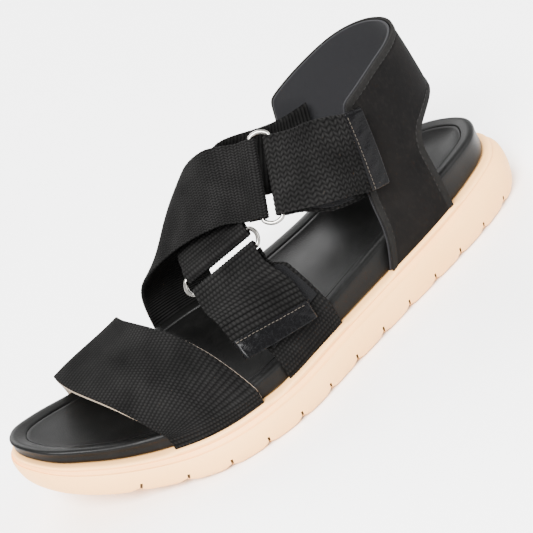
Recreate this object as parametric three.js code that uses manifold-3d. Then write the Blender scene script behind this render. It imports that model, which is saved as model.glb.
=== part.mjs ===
// Strappy sport sandal, left foot. Millimetres, +Z up, toe at -X, outer (lateral) side at -Y.
import * as THREE from 'three';
import { mergeVertices } from 'three/addons/utils/BufferGeometryUtils.js';
import Module from 'manifold-3d';

const wasm = await Module();
wasm.setup();

// ---------------------------------------------------------------- driving sizes
const FOOTBED_LENGTH = 257;      // along the footbed, toe to heel
const BALL_WIDTH = 94;           // footbed across the ball
const COLLAR_HEIGHT = 101;       // top of the heel sling above the ground
const STRAP_WIDTH = 34.5;        // both cross straps
const TOE_STRAP_WIDTH = 39;
const WEBBING = 1.4;             // thickness of every webbing
const LINING = 0.9;              // thickness of the toe strap's lining
const NUBUCK = 1.3;              // heel sling, outer leather
const SLING_LINING = 1;          // heel sling, textile inside
const RING_WIRE = 2.2;
const RING_BAR_SPACING = 8.6;    // between the centres of the two long bars
const GAP = 0.3;                 // clearance between pieces that meet
const TAB = 12;                  // strap end turned under the footbed
const CORNER = 1.2;              // inner bend radius of a turned strap end
const BOARD_THICKNESS = 2;
const SOCK_THICKNESS = 1.2;
const GROOVES = 13;              // cuts across the tread
const GROOVE_WIDTH = 1;
const GROOVE_DEPTH = 3.2;

// The tables are drawn for these sizes and graded to the ones above.
const grade = new THREE.Vector3(FOOTBED_LENGTH / 257, BALL_WIDTH / 94, COLLAR_HEIGHT / 101);

// ---------------------------------------------------------------- small tools
const clamp = THREE.MathUtils.clamp;
const lerp = THREE.MathUtils.lerp;
const smoothstep = THREE.MathUtils.smoothstep;

/** Smooth function through [x, y] pairs, held straight past both ends. */
function through(pairs) {
  const slope = pairs.map((p, i) => {
    const before = pairs[Math.max(i - 1, 0)];
    const after = pairs[Math.min(i + 1, pairs.length - 1)];
    return (after[1] - before[1]) / (after[0] - before[0]);
  });
  return (x) => {
    const last = pairs.length - 1;
    if (x <= pairs[0][0]) return pairs[0][1] + slope[0] * (x - pairs[0][0]);
    if (x >= pairs[last][0]) return pairs[last][1] + slope[last] * (x - pairs[last][0]);
    let i = 0;
    while (pairs[i + 1][0] < x) i++;
    const run = pairs[i + 1][0] - pairs[i][0];
    const t = (x - pairs[i][0]) / run;
    const rise = pairs[i + 1][1] - pairs[i][1];
    const bend = (slope[i] * run - rise) * (1 - t) - (slope[i + 1] * run - rise) * t;
    return pairs[i][1] + t * rise + t * (1 - t) * bend;
  };
}

const steps = (from, to, n) => Array.from({ length: n + 1 }, (_, i) => lerp(from, to, i / n));

// ---------------------------------------------------------------- footbed outline
const OUTLINE = [
  [-131, 9], [-124, -8], [-110, -19.5], [-91, -30], [-63, -45], [-31, -50], [3, -44], [39, -37.5],
  [72, -32], [99, -25.5], [118, -16], [126, 0], [118, 17], [99, 28.5], [70, 30.5], [35, 28],
  [0, 32], [-32, 41.5], [-62, 44], [-92, 40], [-113, 32.5], [-126, 23],
].map(([x, y]) => new THREE.Vector3(x * grade.x, y * grade.y, 0));
const RING_POINTS = 84;
const outline = new THREE.CatmullRomCurve3(OUTLINE, true, 'centripetal').getPoints(RING_POINTS)
  .slice(0, RING_POINTS);
const TOE_X = Math.min(...outline.map((p) => p.x));
const HEEL_X = Math.max(...outline.map((p) => p.x));

/** y of the footbed's edge at x on one side (-1 lateral, +1 medial). */
function edgeY(x, side) {
  let best = 0;
  for (let i = 0; i < RING_POINTS; i++) {
    const a = outline[i];
    const b = outline[(i + 1) % RING_POINTS];
    if ((a.x - x) * (b.x - x) > 0 || a.x === b.x) continue;
    const y = lerp(a.y, b.y, (x - a.x) / (b.x - a.x));
    if (best === 0 || y * side > best * side) best = y;
  }
  return best;
}
const edgeTables = [-1, 1].map((side) => {
  const xs = steps(TOE_X + 1, HEEL_X - 1, 64);
  return through(xs.map((x) => [x, edgeY(x, side)]));
});
const edge = (x, side) => edgeTables[side < 0 ? 0 : 1](x);

const toSize = (pairs) => through(pairs.map(([x, v]) => [x * grade.x, v]));
// Height of the joint between sole and footbed, and height of the footbed's wall above it.
const junction = toSize([[-131, 36.6], [-116, 29.4], [-90, 19.6], [-63, 16.8], [-30, 17],
  [0, 17.6], [50, 19], [90, 21], [126, 23]]);
const wall = toSize([[-131, 6.8], [-90, 7.3], [-63, 7.9], [-30, 8.8], [0, 10.1], [27, 12],
  [56, 13.7], [85, 14.1], [113, 12.8], [126, 11.4]]);
const TOE_SPRING = 21;
const SPRING_START = -58;        // the tread leaves the ground ahead of this
const tread = (x) => {
  const ahead = Math.max(0, SPRING_START * grade.x - x);
  return TOE_SPRING * (ahead / (SPRING_START * grade.x - TOE_X)) ** 2;
};

// Share of the sole's outward steps that is used: its sides swell less at the toe.
const swell = toSize([[-131, 0.55], [-105, 1], [0, 1], [126, 1]]);

/** The outline moved out by `out` mm, then drawn in towards the sole's spine by `shrink`. */
function ring(out, shrink, height) {
  const n = RING_POINTS;
  return outline.map((p, i) => {
    const along = outline[(i + 1) % n].clone().sub(outline[(i + n - 1) % n]).normalize();
    const reach = out > 0 ? out * swell(p.x) : out;
    const q = new THREE.Vector3(p.x + along.y * reach, p.y - along.x * reach, 0);
    const spineX = clamp(q.x, TOE_X + 40, HEEL_X - 32);
    const spineY = (edge(spineX, -1) + edge(spineX, 1)) / 2;
    q.x = lerp(spineX, q.x, shrink);
    q.y = lerp(spineY, q.y, shrink);
    q.z = height(q.x);
    return q;
  });
}

// ---------------------------------------------------------------- solids
/** A closed mesh from points and triangles, turned to face outwards. */
function solid(points, triangles) {
  let volume = 0;
  for (const [a, b, c] of triangles) volume += points[a].dot(points[b].clone().cross(points[c]));
  const facing = volume < 0 ? triangles.map(([a, b, c]) => [a, c, b]) : triangles;
  const geometry = new THREE.BufferGeometry().setFromPoints(points);
  geometry.setIndex(facing.flat());
  return geometry;
}

/** Rings of equal count joined one after another and closed flat at both ends. */
function loft(rings) {
  const n = rings[0].length;
  const triangles = [];
  for (let r = 0; r + 1 < rings.length; r++) {
    for (let i = 0; i < n; i++) {
      const j = (i + 1) % n;
      const [a, b] = [r * n + i, r * n + j];
      triangles.push([a, b, b + n], [a, b + n, a + n]);
    }
  }
  // Each end is closed by rungs between its two long sides, which mirror each other's counts.
  for (let i = 0; i < n / 2; i++) {
    const rung = [i, i + 1, (n - 1 - i) % n, (n - i) % n];
    const top = rung.map((k) => (rings.length - 1) * n + k);
    if (i < n / 2 - 1) triangles.push([rung[0], rung[2], rung[1]], [top[0], top[1], top[2]]);
    if (i > 0) triangles.push([rung[0], rung[3], rung[2]], [top[0], top[2], top[3]]);
  }
  return solid(rings.flat(), triangles);
}

/** A thick sheet between two grids of points; `keep(i, j)` says which cells exist. */
function sheet(inner, outer, keep = () => true) {
  const columns = inner.length - 1;
  const rows = inner[0].length - 1;
  const kept = (i, j) => i >= 0 && j >= 0 && i < columns && j < rows && keep(i, j);
  const points = [];
  const index = new Map();
  const vertex = (side, i, j) => {
    const key = `${side}/${i}/${j}`;
    if (!index.has(key)) {
      index.set(key, points.length);
      points.push((side ? outer : inner)[i][j]);
    }
    return index.get(key);
  };
  const triangles = [];
  const quad = (a, b, c, d) => triangles.push([a, b, c], [a, c, d]);
  const rim = (i0, j0, i1, j1) => quad(
    vertex(0, i0, j0), vertex(0, i1, j1), vertex(1, i1, j1), vertex(1, i0, j0),
  );
  for (let i = 0; i < columns; i++) {
    for (let j = 0; j < rows; j++) {
      if (!kept(i, j)) continue;
      quad(vertex(1, i, j), vertex(1, i + 1, j), vertex(1, i + 1, j + 1), vertex(1, i, j + 1));
      quad(vertex(0, i, j), vertex(0, i, j + 1), vertex(0, i + 1, j + 1), vertex(0, i + 1, j));
      if (!kept(i, j - 1)) rim(i, j, i + 1, j);
      if (!kept(i + 1, j)) rim(i + 1, j, i + 1, j + 1);
      if (!kept(i, j + 1)) rim(i + 1, j + 1, i, j + 1);
      if (!kept(i - 1, j)) rim(i, j + 1, i, j);
    }
  }
  return solid(points, triangles);
}

function toManifold(geometry) {
  const bare = geometry.clone();
  bare.deleteAttribute('normal');
  bare.deleteAttribute('uv');
  const merged = mergeVertices(bare, 1e-4);
  return new wasm.Manifold(new wasm.Mesh({
    numProp: 3,
    vertProperties: new Float32Array(merged.attributes.position.array),
    triVerts: new Uint32Array(merged.index.array),
  }));
}

function toGeometry(manifold) {
  const mesh = manifold.getMesh();
  const geometry = new THREE.BufferGeometry();
  geometry.setAttribute('position', new THREE.BufferAttribute(new Float32Array(mesh.vertProperties), 3));
  geometry.setIndex([...mesh.triVerts]);
  return geometry;
}

/** The geometry less the tools, without any crumb a tool cuts loose. */
function cut(geometry, tools) {
  let body = toManifold(geometry);
  for (const tool of tools) body = body.subtract(toManifold(tool));
  const largest = body.decompose().sort((a, b) => b.volume() - a.volume())[0];
  return toGeometry(largest);
}

// ---------------------------------------------------------------- the foot's shape above the footbed
const rise = (x, z) => {
  const base = junction(x) + wall(x);
  return base + (z - base) * grade.z;
};
const crestY = toSize([[-110, 20], [-92, 19], [-60, 10], [-30, 11], [0, 13], [25, 8], [50, 3],
  [75, 1]]);
const crestZ = toSize([[-110, 41], [-92, 44.5], [-60, 50.5], [-30, 62.5], [0, 86.5], [25, 101],
  [50, 112], [75, 118]]);
const fullness = [
  toSize([[-110, 2.6], [-60, 2], [-30, 1.8], [0, 1.65], [25, 1.9], [50, 3.2], [75, 4.5]]),
  toSize([[-110, 2.8], [-60, 2.1], [-30, 1.85], [0, 1.9], [25, 2.2], [50, 2.6], [75, 3]]),
];
const ankleInset = through([[10, 0], [45, 4.4], [70, 2.6]]);  // ankle narrower than its footbed
const archCache = new Map();

/** Points from the crest down one side to the footbed's top edge, with their running length. */
function arch(x, side) {
  const key = side * 1e6 + x;
  if (archCache.has(key)) return archCache.get(key);
  const foot = edge(x, side);
  const base = junction(x) + wall(x);
  const top = rise(x, crestZ(x));
  const power = 2 / fullness[side < 0 ? 0 : 1](x);
  const inset = ankleInset(clamp(x / grade.x, 10, 70));
  const points = steps(0, Math.PI / 2, 40).map((a) => {
    const y = lerp(crestY(x), foot, Math.sin(a) ** power);
    const z = lerp(base, top, Math.max(0, Math.cos(a)) ** power);
    return { y: y - side * inset * smoothstep(z, base, base + 18), z, length: 0 };
  });
  for (let i = 1; i < points.length; i++) {
    const [p, q] = [points[i - 1], points[i]];
    q.length = p.length + Math.hypot(q.y - p.y, q.z - p.z);
  }
  archCache.set(key, points);
  return points;
}

/**
 * The surface every strap lies on. `s` runs from 0 at the crest to 1 at the footbed's top edge
 * (negative on the lateral side); past 1, each 0.01 is one mm down the wall and then inwards
 * under the footbed.
 */
function last(x, s) {
  const side = s < 0 ? -1 : 1;
  const points = arch(x, side);
  const end = points[points.length - 1];
  const share = Math.abs(s);
  if (share <= 1) {
    const reach = share * end.length;
    let i = 1;
    while (i < points.length - 1 && points[i].length < reach) i++;
    const [p, q] = [points[i - 1], points[i]];
    const t = (reach - p.length) / (q.length - p.length);
    return new THREE.Vector3(x, lerp(p.y, q.y, t), lerp(p.z, q.z, t));
  }
  const down = (share - 1) * 100;
  const drop = wall(x) - CORNER;
  const turn = clamp((down - drop) / CORNER, 0, Math.PI / 2);
  const inwards = Math.max(0, down - drop - CORNER * Math.PI / 2);
  return new THREE.Vector3(
    x,
    end.y - side * (CORNER * (1 - Math.cos(turn)) + inwards),
    end.z - Math.min(down, drop) - CORNER * Math.sin(turn),
  );
}

function frameAt(x, s) {
  const along = last(x + 0.2, s).sub(last(x - 0.2, s)).divideScalar(0.4);
  const round = last(x, s + 0.002).sub(last(x, s - 0.002)).divideScalar(0.004);
  const normal = along.clone().cross(round).normalize();
  return { along, round, normal };
}

/** Walk from (x, s) over the surface for a signed distance, starting in direction `heading`. */
function walk(x, s, heading, distance) {
  const strides = 6;
  const stride = distance / strides;
  const direction = heading.clone();
  let at = { x, s };
  for (let k = 0; k < strides; k++) {
    const { along, round, normal } = frameAt(at.x, at.s);
    direction.addScaledVector(normal, -direction.dot(normal)).normalize();
    const [aa, ar, rr] = [along.dot(along), along.dot(round), round.dot(round)];
    const [da, dr] = [direction.dot(along), direction.dot(round)];
    const det = aa * rr - ar * ar;
    at = {
      x: at.x + stride * (da * rr - dr * ar) / det,
      s: at.s + stride * (dr * aa - da * ar) / det,
    };
  }
  return at;
}

// ---------------------------------------------------------------- straps
const ACROSS = 8;                // cells across a strap
const S_SCALE = 90;              // mm of girth per unit of s, near enough for spacing points

/** One row of points across the strap at a station, `height` above the surface. */
function across(station, width, height) {
  const { x, s, side } = station;
  const { along } = frameAt(x, s);
  const level = smoothstep(Math.abs(s), 0.92, 1);     // rows follow the sole's edge where they tuck in
  return steps(-width / 2, width / 2, ACROSS).map((offset) => {
    const at = walk(x, s, side, offset);
    const beside = x + offset * Math.sign(side.dot(along)) / along.length();
    at.x = lerp(at.x, beside, level);
    at.s = lerp(at.s, s, level);
    return last(at.x, at.s).addScaledVector(frameAt(at.x, at.s).normal, height);
  });
}

const ROW_STEP = 5;
const END_ROOM = 0.5;            // room past the end of a tucked strap
const ROOM_LENGTH = 26;          // of the slot the sole and board leave round a tucked end
// Reaches from a tucked end where the strap bends round the footbed's lower edge.
const S_PER_MM = 0.01 * S_SCALE;
const BEND_KNOTS = steps(TAB * S_PER_MM, (TAB + CORNER * Math.PI / 2) * S_PER_MM, 3);

/**
 * A run of strap along a centre line. `bar` holds one end straight and level, `climb` is extra
 * height gained over the second half, `tucked` lists the ends turned in under the footbed.
 */
function strapRun({ points, width, height, bar = null, climb = 0, tucked = [] }) {
  const curve = new THREE.CatmullRomCurve3(
    points.map(([x, s]) => new THREE.Vector3(x * grade.x, s * S_SCALE, 0)), false, 'centripetal',
  );
  const length = curve.getLength();
  const at = (reach) => {
    const t = clamp(reach / length, 0, 1);
    const c = curve.getPointAt(t);
    const d = curve.getTangentAt(t);
    const s = c.y / S_SCALE;
    const { along, round, normal } = frameAt(c.x, s);
    const heading = along.multiplyScalar(d.x).addScaledVector(round, d.y / S_SCALE).normalize();
    const station = { x: c.x, s, reach, normal, heading };
    station.side = normal.clone().cross(heading).normalize();
    station.point = last(c.x, s);
    return station;
  };
  const row = (reach, lift, wide = width) => {
    const station = at(reach);
    const raised = height + climb * smoothstep(reach, length * 0.4, length * 0.8);
    const onFoot = across(station, wide, raised + lift);
    if (!bar) return onFoot;
    const away = bar.atEnd ? length - reach : reach;
    const level = 1 - smoothstep(away, bar.straight, bar.straight + bar.blend);
    if (level === 0) return onFoot;
    const flat = barRow(bar, away, bar.level(away) + lift, wide);
    return onFoot.map((p, k) => p.lerp(flat[k], level));
  };
  const bends = tucked.flatMap((end) => BEND_KNOTS.map((k) => (end === 'start' ? k : length - k)));
  const even = steps(0, length, Math.ceil(length / ROW_STEP))
    .filter((reach) => bends.every((bend) => Math.abs(bend - reach) > 1));
  const reaches = [...even, ...bends].sort((a, b) => a - b);
  return { length, row, at, width, reaches };
}

/** A straight row of points level with a ring's bar, `away` from it and `up` from its centre. */
function barRow(bar, away, up, width) {
  const { centre, heading, normal, side } = bar;
  return steps(-width / 2, width / 2, ACROSS).map((offset) => centre.clone()
    .addScaledVector(heading, -away)
    .addScaledVector(normal, up)
    .addScaledVector(side, offset));
}

/** Rows of a fold round a bar, from `fromAngle` to `toAngle`, measured up from straight away. */
function foldRows(bar, radius, fromAngle, toAngle, width) {
  return steps(fromAngle, toAngle, 8).map((degrees) => {
    const angle = THREE.MathUtils.degToRad(degrees);
    return barRow(bar, radius * Math.cos(angle), radius * Math.sin(angle), width);
  });
}

/** A layer of a run between two reaches, from `low` to `high` above the run's own inner face. */
function layer(run, from, to, low, high, { width = run.width, before = [], after = [] } = {}) {
  const between = run.reaches.filter((reach) => reach > from + 1 && reach < to - 1);
  const pairs = [from, ...between, to]
    .map((reach) => [run.row(reach, low, width), run.row(reach, high, width)]);
  const all = [...before, ...pairs, ...after];
  return sheet(all.map((pair) => pair[0]), all.map((pair) => pair[1]));
}

/** `s` at the very end of a strap turned in under the footbed at x. */
const tuckedEnd = (x, side, extra = 0) =>
  side * (1 + (wall(x * grade.x) + CORNER * (Math.PI / 2 - 1) + TAB + extra) / 100);

const BAR_FIT = 0.25;                                // webbing fold round a ring's bar
const FOLD_IN = RING_WIRE / 2 + BAR_FIT;
const FOLD_OUT = FOLD_IN + WEBBING;
const PATCH = 0.6;                                   // hook and loop patches
const LOOP_LOW = WEBBING + 1.6 * GAP;                // loop patch above the anchor's inner face
const TIP_WALL = 0.9;
const TIP_LENGTH = 8.5;
const RETURN = 6.5;                                  // sewn-back end of the strap that holds a ring

/** The two bars of a ring whose near bar ends `run`. */
function ringFrame(run, height) {
  const end = run.at(run.length);
  const heading = end.side.clone().cross(end.normal).normalize();
  const near = end.point.clone().addScaledVector(end.normal, height);
  const far = near.clone().addScaledVector(heading, RING_BAR_SPACING);
  const level = (away) => lerp(FOLD_IN, GAP - FOLD_IN, smoothstep(away, 1.5, RETURN));
  const axes = { normal: end.normal, side: end.side };
  return {
    near: { ...axes, centre: near, heading, atEnd: true, straight: RETURN, blend: 11, level },
    far: { ...axes, centre: far, heading: heading.clone().negate() },
  };
}

function ringSolid(frame) {
  const { near, far } = frame;
  const half = (STRAP_WIDTH + 0.6) / 2;
  const turn = RING_BAR_SPACING / 2;
  const bow = 3;               // of the ring's short ends
  const middle = near.centre.clone().lerp(far.centre, 0.5);
  const heading = near.heading;
  const outlinePoints = [];
  for (const end of [1, -1]) {
    for (const degrees of steps(0, 180, 8)) {
      const angle = THREE.MathUtils.degToRad(degrees);
      outlinePoints.push(middle.clone()
        .addScaledVector(near.side, end * (half + bow * Math.sin(angle)))
        .addScaledVector(heading, end * turn * Math.cos(angle)));
    }
  }
  return tubeRound(outlinePoints, RING_WIRE / 2, near.normal);
}

/** A round wire along a closed flat loop of points. */
function tubeRound(points, radius, up) {
  const n = points.length;
  const sides = 10;
  const rows = points.map((p, i) => {
    const along = points[(i + 1) % n].clone().sub(points[(i + n - 1) % n]).normalize();
    const out = along.clone().cross(up).normalize();
    return steps(0, 2 * Math.PI, sides).slice(0, sides).map((a) => p.clone()
      .addScaledVector(out, radius * Math.cos(a)).addScaledVector(up, radius * Math.sin(a)));
  });
  const triangles = [];
  for (let i = 0; i < n; i++) {
    for (let k = 0; k < sides; k++) {
      const [a, b] = [i * sides + k, i * sides + (k + 1) % sides];
      const [c, d] = [((i + 1) % n) * sides + k, ((i + 1) % n) * sides + (k + 1) % sides];
      triangles.push([a, c, d], [a, d, b]);
    }
  }
  return solid(rows.flat(), triangles);
}

/** All pieces of one cross strap: held strap, ring, anchor, flap and its patches and tip. */
function crossStrap({
  held, heldHeight, heldClimb = 0, ringHeight, anchor, anchorHeight,
  flap, flapHeight, flapClimb = 0, tucked,
}) {
  const width = STRAP_WIDTH;
  const ends = (piece) => (tucked === piece ? ['start'] : []);
  const free = strapRun({ points: held, width, height: heldHeight });
  const frame = ringFrame(free, ringHeight);
  const heldRun = strapRun({
    points: held, width, height: heldHeight, climb: heldClimb, bar: frame.near, tucked: ends('held'),
  });
  const foldPairs = (bar, from, to) => {
    const inner = foldRows(bar, FOLD_IN, from, to, width);
    const outer = foldRows(bar, FOLD_OUT, from, to, width);
    return inner.map((row, k) => [row, outer[k]]);
  };
  const returnPairs = steps(0, RETURN, 3).slice(1).map((away) => [
    barRow(frame.near, away, -FOLD_IN, width), barRow(frame.near, away, -FOLD_OUT, width),
  ]);
  // The held strap's fold runs over the bar's far side; `away` grows back along the strap.
  const heldFold = foldPairs(frame.near, 90, 270).slice(1);
  const strap = layer(heldRun, tucked === 'held' ? END_ROOM : 0, heldRun.length, 0, WEBBING, {
    after: [...heldFold, ...returnPairs],
  });

  // The anchor runs towards the ring, so its left and right are the held strap's swapped.
  const anchorBar = {
    ...frame.far, side: frame.far.side.clone().negate(), atEnd: true, straight: 5, blend: 16,
    level: () => -FOLD_OUT - GAP - WEBBING,
  };
  const anchorRun = strapRun({
    points: anchor, width, height: anchorHeight, bar: anchorBar, tucked: ends('anchor'),
  });
  const flapBar = { ...frame.far, atEnd: false, straight: 6, blend: 16, level: () => FOLD_IN };
  const flapRun = strapRun({ points: flap, width, height: flapHeight, bar: flapBar, climb: flapClimb });
  const flapFold = foldPairs(frame.far, 270, 90).slice(0, -1);
  const patchWidth = width - 4;
  const flapSolid = layer(flapRun, 0, flapRun.length - TIP_WALL - GAP, 0, WEBBING, { before: flapFold });
  const roomForFlap = layer(flapRun, flapRun.length - TIP_LENGTH - 2, flapRun.length - TIP_WALL,
    -GAP, WEBBING + GAP, { width: width + 4 });
  const sleeve = layer(flapRun, flapRun.length - TIP_LENGTH, flapRun.length,
    -GAP - TIP_WALL, WEBBING + GAP + TIP_WALL);
  return {
    frame,
    strap,
    ring: ringSolid(frame),
    anchor: layer(anchorRun, tucked === 'anchor' ? END_ROOM : 0, anchorRun.length, 0, WEBBING),
    anchorLoop: layer(anchorRun, anchorRun.reaches.at(-8), anchorRun.reaches.at(-4), LOOP_LOW,
      LOOP_LOW + PATCH, { width: patchWidth }),
    flap: flapSolid,
    flapHook: layer(flapRun, flapRun.reaches[2], flapRun.reaches.at(-4), -GAP - PATCH, -GAP,
      { width: patchWidth }),
    flapTip: cut(sleeve, [roomForFlap]),
    room: layer(tucked === 'held' ? heldRun : anchorRun, 0, ROOM_LENGTH, -GAP, WEBBING + GAP,
      { width: width + 2 * GAP }),
  };
}

// ---------------------------------------------------------------- heel sling
const SLING_FRONT = 40;
const SLING_POWER = 2 / 2.2;
const slingHalf = [33.9, 33];
const slingBack = through([[20, 111], [65, 110.5], [85, 109], [101, 107]]);
const LEG_BACK = 85;             // back edge of the sling's legs
const SLING_STEP = 54;           // height where the legs' back edges turn into the lower edge
const slingFrontEdge = through([[17, 42], [35, 48], [51, 50], [75, 54.5], [101, 60.5]]);
const slingTop = [
  through([[58, 95], [70, 98], [83, 100.5], [95, 101], [110, 101]]),
  through([[52, 82], [65, 88.5], [80, 94], [95, 98.5], [110, 101]]),
];
const slingBottom = through([[85, 54], [87, 59.5], [92, 62.5], [100, 65], [110, 66], [116, 65.5]]);

/** Inner face of the sling at a height; `turn` is -1 or 1 at the front and 0 at the back. */
function slingPoint(turn, z) {
  const side = turn < 0 ? -1 : 1;
  const angle = Math.abs(turn) * Math.PI / 2;
  const front = SLING_FRONT * grade.x;
  const x = lerp(front, slingBack(z) * grade.x, Math.cos(angle) ** SLING_POWER);
  const y = side * slingHalf[side < 0 ? 0 : 1] * grade.y * Math.sin(angle) ** SLING_POWER;
  const base = junction(x) + wall(x);
  const onWall = edge(x, side) + side * GAP;
  return new THREE.Vector3(x, lerp(onWall, y, smoothstep(z, base, base + 22)), z);
}

/** The `turn` at which the sling passes x, for one side and height. */
function slingTurn(x, side, z) {
  const front = SLING_FRONT * grade.x;
  const share = clamp((x * grade.x - front) / (slingBack(z) * grade.x - front), 0, 1);
  return side * Math.acos(share ** (1 / SLING_POWER)) / (Math.PI / 2);
}

/** A point of a sling leg turned in under the footbed, `inwards` past the bend at `turn` (0-1). */
function slingTuck(x, side, bend, inwards) {
  const floor = junction(x);
  const angle = bend * Math.PI / 2;
  const radius = CORNER + GAP;
  return new THREE.Vector3(
    x,
    edge(x, side) + side * (GAP - radius * (1 - Math.cos(angle)) - inwards),
    floor + CORNER - radius * Math.sin(angle),
  );
}

/** The grid of the sling's inner face: columns from the lateral front round to the medial front. */
function slingGrid(extra = 0) {
  const legColumns = 5;
  const loopColumns = 9;
  const legRows = 9;
  const loopRows = 6;
  const columns = [];
  for (const side of [-1, 1]) {
    const half = [];
    for (const t of steps(0, 1, legColumns)) half.push({ side, t, loop: 0 });
    for (const t of steps(0, 1, loopColumns).slice(1)) half.push({ side, t: 1, loop: t });
    columns.push(side < 0 ? half : half.reverse().slice(1));
  }
  const list = columns.flat();
  const grid = list.map(({ side, t, loop }) => {
    const widen = t === 0 ? -extra : (t === 1 ? extra : 0);
    const legX = (z) => lerp(slingFrontEdge(z), LEG_BACK, t) + widen;
    const points = [];
    const x0 = legX(17) * grade.x;
    for (const inwards of [TAB + extra, TAB / 2, 0]) points.push(slingTuck(x0, side, 1, inwards));
    for (const bend of [0.5, 0]) points.push(slingTuck(x0, side, bend, 0));
    const low = junction(x0) + CORNER;
    for (const z of steps(low, SLING_STEP, legRows - 4).slice(1, -1)) {
      points.push(slingPoint(slingTurn(legX(z), side, z), z));
    }
    const loopX = (z) => lerp(LEG_BACK, 116, loop);
    const turnAt = (z) => (loop === 0
      ? slingTurn(legX(z), side, z)
      : slingTurn(LEG_BACK, side, z) * (1 - loop ** 1.2));
    const edgeX = (z) => slingPoint(turnAt(z), z).x / grade.x;
    const from = loop === 0 ? SLING_STEP : slingBottom(clamp(edgeX(62), 85, 116));
    const to = slingTop[side < 0 ? 0 : 1](clamp(edgeX(98), 52, 110));
    for (const z of steps(from, to, loopRows)) {
      const high = rise(loopX(z) * grade.x, z);
      points.push(slingPoint(turnAt(z), high));
    }
    return points;
  });
  const turningColumn = legColumns;
  const lastColumn = list.length - 1;
  const stepRow = grid[0].length - 1 - loopRows;
  const keep = (i, j) => j >= stepRow || i < turningColumn || i >= lastColumn - turningColumn;
  return { grid, keep, stepRow };
}

function gridNormals(grid, keep) {
  const normals = grid.map((column) => column.map(() => new THREE.Vector3()));
  for (let i = 0; i + 1 < grid.length; i++) {
    for (let j = 0; j + 1 < grid[0].length; j++) {
      if (!keep(i, j)) continue;
      const diagonal = grid[i + 1][j + 1].clone().sub(grid[i][j]);
      const other = grid[i][j + 1].clone().sub(grid[i + 1][j]);
      const normal = diagonal.cross(other).normalize();
      for (const [a, b] of [[i, j], [i + 1, j], [i, j + 1], [i + 1, j + 1]]) normals[a][b].add(normal);
    }
  }
  return normals.map((column) => column.map((n) => n.normalize()));
}

function slingLayer(low, high, extra = 0) {
  const { grid, keep } = slingGrid(extra);
  const normals = gridNormals(grid, keep);
  const raised = (height) => grid.map((column, i) => column.map(
    (p, j) => p.clone().addScaledVector(normals[i][j], height),
  ));
  return sheet(raised(low), raised(high), keep);
}

// ---------------------------------------------------------------- sole, board, footbed
const TOP_LIP = 2.6;             // lip of the sole under the footbed, above its groove

function soleUnit(rooms) {
  const at = (share) => (x) => lerp(tread(x), junction(x) - GAP, share);
  const under = (down) => (x) => junction(x) - down;
  const over = (up) => (x) => tread(x) + up;
  const body = loft([
    ring(4.8, 0.12, over(0)), ring(4.8, 0.55, over(0)), ring(4.8, 1, over(0)), ring(5.9, 1, over(1)),
    ring(7.4, 1, at(0.35)), ring(7.6, 1, at(0.6)), ring(6, 1, under(TOP_LIP + 2)),
    ring(3.6, 1, under(TOP_LIP + 0.4)), ring(3, 1, under(TOP_LIP)), ring(3.2, 1, under(TOP_LIP - 0.6)),
    ring(2.4, 1, under(1)), ring(0.3, 1, under(2 * GAP)), ring(0.3, 0.55, under(2 * GAP)),
    ring(0.3, 0.12, under(2 * GAP)),
  ]);
  return cut(body, [...rooms, ...treadGrooves()]);
}

const FIRST_GROOVE = -102;
const LAST_GROOVE = 111.5;
function treadGrooves() {
  return steps(FIRST_GROOVE, LAST_GROOVE, GROOVES - 1).map((x) => {
    const at = x * grade.x;
    const box = new THREE.BoxGeometry(GROOVE_WIDTH, 160, GROOVE_DEPTH * 2);
    box.rotateY(Math.atan(tread(at - 0.5) - tread(at + 0.5)));
    return box.translate(at, 0, tread(at));
  });
}

const BOARD_INSET = 8;
const BOARD_DROP = 0.85;         // top of the board below the footbed
const BOARD_SHARE = 0.76;        // drawn in towards the spine, clear of the tucked strap ends
function board(extra = 0) {
  const low = (x) => junction(x) - BOARD_DROP - BOARD_THICKNESS - extra;
  const high = (x) => junction(x) - BOARD_DROP + extra;
  const out = extra - BOARD_INSET;
  const shares = [0.12, 0.45, BOARD_SHARE];
  return loft([
    ...shares.map((share) => ring(out, share, low)),
    ...shares.slice().reverse().map((share) => ring(out, share, high)),
  ]);
}

const SOCK_INSET = 6.8;
const dish = through([[-131, 2], [-60, 2.6], [0, 3.6], [80, 5.5], [126, 6]]);
const topOf = (x) => junction(x) + wall(x);

function footbed() {
  const up = (height) => (x) => junction(x) + height;
  const below = (down) => (x) => topOf(x) - down;
  const bowl = (share) => (x) => topOf(x) - SOCK_THICKNESS - GAP - lerp(1, dish(x), share);
  return loft([
    ring(-1.3, 0.12, up(0)), ring(-1.3, 0.55, up(0)), ring(-1.3, 1, up(0)), ring(-0.5, 1, up(0.35)),
    ring(-0.1, 1, up(1.2)),
    ring(-0.1, 1, below(0.9)), ring(-0.6, 1, below(0)), ring(-2.4, 1, below(-0.5)),
    ring(-4.8, 1, below(0.1)), ring(GAP - SOCK_INSET, 1, below(1.2)),
    ring(GAP - SOCK_INSET, 0.995, bowl(0)),
    ring(-SOCK_INSET, 0.75, bowl(0.7)), ring(-SOCK_INSET, 0.4, bowl(1)), ring(-SOCK_INSET, 0.12, bowl(1)),
  ]);
}

function sock() {
  const bowl = (share, lift) => (x) => topOf(x) - SOCK_THICKNESS - lerp(1, dish(x), share) + lift;
  const shares = [[0.12, 1], [0.4, 1], [0.75, 0.7], [0.99, 0]];
  const face = (lift) => shares.map(([shrink, share]) => ring(-SOCK_INSET, shrink, bowl(share, lift)));
  return loft([...face(0), ...face(SOCK_THICKNESS).reverse()]);
}

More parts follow.
